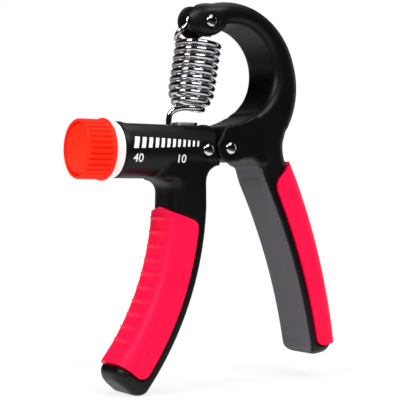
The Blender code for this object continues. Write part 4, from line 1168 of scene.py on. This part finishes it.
def wire(name, run):
    """A round wire along a run of points, with its ends closed."""
    curve = bpy.data.curves.new(name, "CURVE")
    curve.dimensions = "3D"
    curve.bevel_depth = WIRE_RADIUS * MM
    curve.bevel_resolution = 6
    curve.use_fill_caps = True
    spline = curve.splines.new("POLY")
    spline.points.add(len(run) - 1)
    for point, place in zip(spline.points, run):
        point.co = (*at(*place), 1.0)
    obj = bpy.data.objects.new(name, curve)
    bpy.context.collection.objects.link(obj)
    alone(obj)
    bpy.ops.object.convert(target="MESH")
    bpy.ops.object.mode_set(mode="EDIT")
    close_up()
    return obj


def build_spring():
    """Extension spring, in two parts that meet at a curl."""
    lower_run, upper_run = spring_runs()
    upper = wire("spring_upper", upper_run)
    lower = wire("spring_lower", lower_run)
    for obj in (upper, lower):
        settled(obj)
        shaded(obj, 60)
        obj.data.materials.clear()
        obj.data.materials.append(CHROME)
        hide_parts("spring")
    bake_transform(upper)
    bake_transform(lower)


# Printed scale

# Left edge, width, lower and upper end of each bar
BARS = (
    (-41.5, 2.0, -0.85, 3.35),
    (-38.3, 1.65, -0.75, 3.25),
    (-35.4, 1.55, -0.6, 3.2),
    (-32.6, 1.4, -0.5, 3.15),
    (-30.1, 1.35, -0.4, 3.05),
    (-27.6, 1.3, -0.25, 2.95),
    (-25.2, 1.2, -0.15, 2.85),
    (-22.95, 1.1, -0.05, 2.75),
    (-20.7, 1.0, 0.05, 2.7),
    (-18.6, 0.95, 0.15, 2.6),
    (-16.5, 0.85, 0.25, 2.5),
    (-14.5, 0.75, 0.35, 2.4),
)
BAR_LEAN = 0.25

# The numbers with their left edges, and their foot, size and added weight
NUMBERS = (("40", -41.9), ("10", -23.6))
NUMBER_FOOT = -5.8
NUMBER_SIZE = 4.3
NUMBER_WEIGHT = 0.03

# Marks are drawn flat in front of the barrel, and rays from further out lay them on it
PRINT_FROM = 12.0
RAYS_FROM = 30.0
INK_LIFT = 0.02
INK_THICK = 0.03


def printed_on(obj, shell):
    """Lays a flat mesh, drawn in X and Z, on the moulding's front as a thin skin of ink."""
    for vertex in obj.data.vertices:
        start = Vector((vertex.co.x, -RAYS_FROM * MM, vertex.co.z))
        hit, place = shell.ray_cast(start, (0.0, 1.0, 0.0))[:2]
        if hit:
            vertex.co.y = place.y - INK_LIFT * MM
    modify(obj, "SOLIDIFY", thickness=INK_THICK * MM, offset=0.0)
    return obj


def cut_up(places, normal):
    """Bisects the mesh under edit at each place, so that it can follow a round surface."""
    for place in places:
        bpy.ops.mesh.select_all(action="SELECT")
        bpy.ops.mesh.bisect(plane_co=place, plane_no=normal)


def build_scale(shell):
    """Twelve bars that shrink towards the pivot, with a plain number under each end."""
    bars = []
    for left, width, low, high in BARS:
        clear_choice()
        bpy.ops.mesh.primitive_grid_add(x_subdivisions=2, y_subdivisions=10, size=MM)
        bar = fresh("bar")
        bar.scale = (width, high - low, 1.0)
        bar.rotation_euler = (math.pi / 2, 0.0, 0.0)
        middle = at(left + width / 2, -PRINT_FROM, (low + high) / 2)
        bar.location = middle
        settled(bar)
        for vertex in bar.data.vertices:
            vertex.co.x += BAR_LEAN * (vertex.co.z - middle.z)
        bars.append(printed_on(bar, shell))
    add_piece(joined(bars, "scale_bars"), "grip_body", INK)

    numbers = []
    for word, x in NUMBERS:
        clear_choice()
        place = at(x, -PRINT_FROM, NUMBER_FOOT)
        bpy.ops.object.text_add(location=place, rotation=(math.pi / 2, 0.0, 0.0))
        text = bpy.context.object
        text.data.body = word
        text.data.size = NUMBER_SIZE * MM
        text.data.offset = NUMBER_WEIGHT * MM
        bpy.ops.object.convert(target="MESH")
        number = settled(fresh("number"))
        bpy.ops.object.mode_set(mode="EDIT")
        low = NUMBER_FOOT - 0.3
        cut_up([at(0, 0, low + 0.27 * step) for step in range(14)], (0, 0, 1))
        cut_up([at(x + 0.6 * step, 0, 0) for step in range(9)], (1, 0, 0))
        close_up()
        numbers.append(printed_on(number, shell))
    add_piece(joined(numbers, "scale_numbers"), "grip_body", INK)


# Screw and hidden steel


def build_screw():
    """Lead screw with its real thread, seen through the barrel's slot. Two rings 0.01 mm apart
    make a sharp step."""
    left, right = CLIP_GROOVE[1] + 0.6, BLOCK_LEFT - 1.0
    neck = BLOCK_LEFT - GAP
    places = [SCREW_LEFT] + [x + step for x in CLIP_GROOVE for step in (0.0, 0.01)]
    places += spread(left, right, round((right - left) / THREAD_PITCH * 8))
    places += [neck, neck + 0.01, BLOCK_LEFT + 1.0]
    rings = []
    for k, x in enumerate(places):
        ring = []
        cut = ease(x, left, left + THREAD_RUN_OUT)
        cut *= 1 - ease(x, right - THREAD_RUN_OUT, right)
        for i in range(SCREW_SIDES):
            phase = (x / THREAD_PITCH - i / SCREW_SIDES) % 1.0
            tooth = min(abs(phase - 0.5) * 2.6, 1.0)
            radius = SCREW_RADIUS - THREAD_DEPTH * tooth * cut
            if k in (2, 3):
                radius = CLIP_GROOVE_RADIUS
            if k > len(places) - 3:
                radius = SCREW_NECK_RADIUS
            turn = TURN * i / SCREW_SIDES
            ring.append(at(x, radius * math.sin(turn), BARREL_Z + radius * math.cos(turn)))
        rings.append(ring)
    thread = drawn_bar("screw_thread", rings)
    add_piece(thread, "knob_group", ZINC, ["lead_screw"], 35)


def dress_hidden_nodes():
    """Gives the steel pieces inside their finish. The CAD's own solids stand for them."""
    inside_barrel = ["pivot_block", "thrust_washer", "screw_clip", "slider_nut"]
    for name in inside_barrel + ["pivot_bush", "hook_roller", "knob_screw"]:
        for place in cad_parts[name].material_slots:
            place.material = ZINC


# Stage, lights and camera

# The photograph's directions: away from the camera, to the right and up
VIEW = Vector((0.5446, 0.8387, 0.0))
SIDE = Vector((0.8387, -0.5446, 0.0))
UP = Vector((0.0, 0.0, 1.0))

# Camera: its turn to the left and its place, the film's width in mm, and the lens as a
# length in the photograph's pixels with the photograph's width
VIEW_TURN = 33.0
CAMERA_PLACE = (-257.3, -385.8, -19.7)
SENSOR = 36.0
FOCAL_PIXELS = 1196.0
PHOTO_PIXELS = 400.0

# Floor: its width in m, and how far below the gripper it lies in mm
FLOOR_SIZE = 8.0
FLOOR_DROP = 0.2


def build_stage():
    """Pale floor that turns into the white background and keeps the object's shadow. Mirror
    images show it bright round the gripper's foot and far behind, and dark elsewhere."""
    clear_choice()
    floor_z = CAD_BOX[0][2] - FLOOR_DROP * MM
    bpy.ops.mesh.primitive_plane_add(size=FLOOR_SIZE, location=(0.0, 0.0, floor_z))
    floor = fresh("studio_floor")
    material, tree = blank("pale_floor")
    place = node(tree, "TexCoord").outputs["Object"]
    paint = node(tree, "BsdfPrincipled", {"Base Color": colour("#F4F4F4"), "Roughness": 0.9})
    rays = node(tree, "LightPath").outputs
    seen = {0: rays["Is Camera Ray"], 1: rays["Is Glossy Ray"]}
    seen = node(tree, "Math", seen, operation="MAXIMUM")
    seen = {0: seen, 1: rays["Is Transmission Ray"]}
    seen = node(tree, "Math", seen, operation="MAXIMUM")
    reach = node(tree, "VectorMath", {0: place}, operation="LENGTH").outputs["Value"]
    far = {"Value": reach, "From Min": 0.12, "From Max": 0.4, "To Min": 0.8, "To Max": 1.0}
    far = node(tree, "MapRange", far)
    share = node(tree, "Math", {0: seen, 1: far}, operation="MULTIPLY")
    near = {"Value": reach, "From Min": 0.14, "From Max": 0.28, "To Min": 0.95, "To Max": 0.05}
    near = node(tree, "MapRange", near, interpolation_type="SMOOTHSTEP")
    along = {0: place, 1: VIEW}
    along = node(tree, "VectorMath", along, operation="DOT_PRODUCT").outputs["Value"]
    back = {"Value": along, "From Min": 0.25, "From Max": 0.8, "To Min": 0.05, "To Max": 0.95}
    back = node(tree, "MapRange", back, interpolation_type="SMOOTHSTEP")
    level = node(tree, "Math", {0: near, 1: back}, operation="MAXIMUM")
    level = {0: level, 1: rays["Is Camera Ray"]}
    level = node(tree, "Math", level, operation="MAXIMUM")
    glow = node(tree, "Emission", {"Color": (1, 1, 1, 1), "Strength": level})
    mix = node(tree, "MixShader", {0: share, 1: paint, 2: glow})
    node(tree, "OutputMaterial", {"Surface": mix})
    floor.data.materials.append(material)


def softbox(name, right, back, up, size, power):
    """A softbox, placed by how far right, behind and above the gripper it stands, in m."""
    data = bpy.data.lights.new(name, "AREA")
    data.shape = "RECTANGLE"
    data.size = size[0]
    data.size_y = size[1]
    data.energy = power
    obj = bpy.data.objects.new(name, data)
    bpy.context.collection.objects.link(obj)
    obj.location = SIDE * right + VIEW * back + UP * up
    obj.rotation_euler = (-obj.location).to_track_quat("-Z", "Y").to_euler()


def build_light():
    """Softboxes high in front, to the left, above, and behind on the right. Mirror images
    show the room bright behind the gripper only, so that black plastic stays black."""
    softbox("front_softbox", 0.45, -0.7, 0.95, (0.8, 0.5), 9.0)
    softbox("left_softbox", -0.76, -0.71, 0.72, (0.45, 0.45), 8.0)
    softbox("top_softbox", 0.1, 0.35, 1.1, (1.0, 0.6), 4.5)
    softbox("rim_softbox", 1.05, 0.55, 0.25, (0.3, 0.9), 1.2)
    world = bpy.data.worlds.new("studio")
    bpy.context.scene.world = world
    world.use_nodes = True
    tree = world.node_tree
    tree.nodes.clear()
    way = node(tree, "TexCoord").outputs["Generated"]
    toward = {0: way, 1: VIEW}
    behind = node(tree, "VectorMath", toward, operation="DOT_PRODUCT").outputs["Value"]
    level = {"Value": behind, "From Min": 0.8, "From Max": 0.98, "To Min": 0.008, "To Max": 0.5}
    level = node(tree, "MapRange", level, interpolation_type="SMOOTHSTEP")
    rays = node(tree, "LightPath").outputs
    even = {0: rays["Is Diffuse Ray"], 1: 0.5}
    even = node(tree, "Math", even, operation="MULTIPLY")
    shown = {0: level, 1: rays["Is Glossy Ray"], 2: even}
    shown = node(tree, "Math", shown, operation="MULTIPLY_ADD")
    strength = {0: shown, 1: rays["Is Camera Ray"]}
    strength = node(tree, "Math", strength, operation="MAXIMUM")
    sky = node(tree, "Background", {"Color": (1, 1, 1, 1), "Strength": strength})
    node(tree, "OutputWorld", {"Surface": sky})


def build_camera():
    """The photograph's view: from the front left, level, with a long lens."""
    data = bpy.data.cameras.new("photo_view")
    data.sensor_width = SENSOR
    data.lens = SENSOR * FOCAL_PIXELS / PHOTO_PIXELS
    camera = bpy.data.objects.new("photo_view", data)
    bpy.context.collection.objects.link(camera)
    camera.location = at(*CAMERA_PLACE)
    camera.rotation_euler = (math.pi / 2, 0.0, -math.radians(VIEW_TURN))
    bpy.context.scene.camera = camera
    bpy.context.scene.view_settings.view_transform = "Standard"


body_shell = build_grip_body()
build_arm()
build_knob()
build_screw()
build_shackle()
build_spring()
build_scale(body_shell)
dress_hidden_nodes()
build_stage()
build_light()
build_camera()
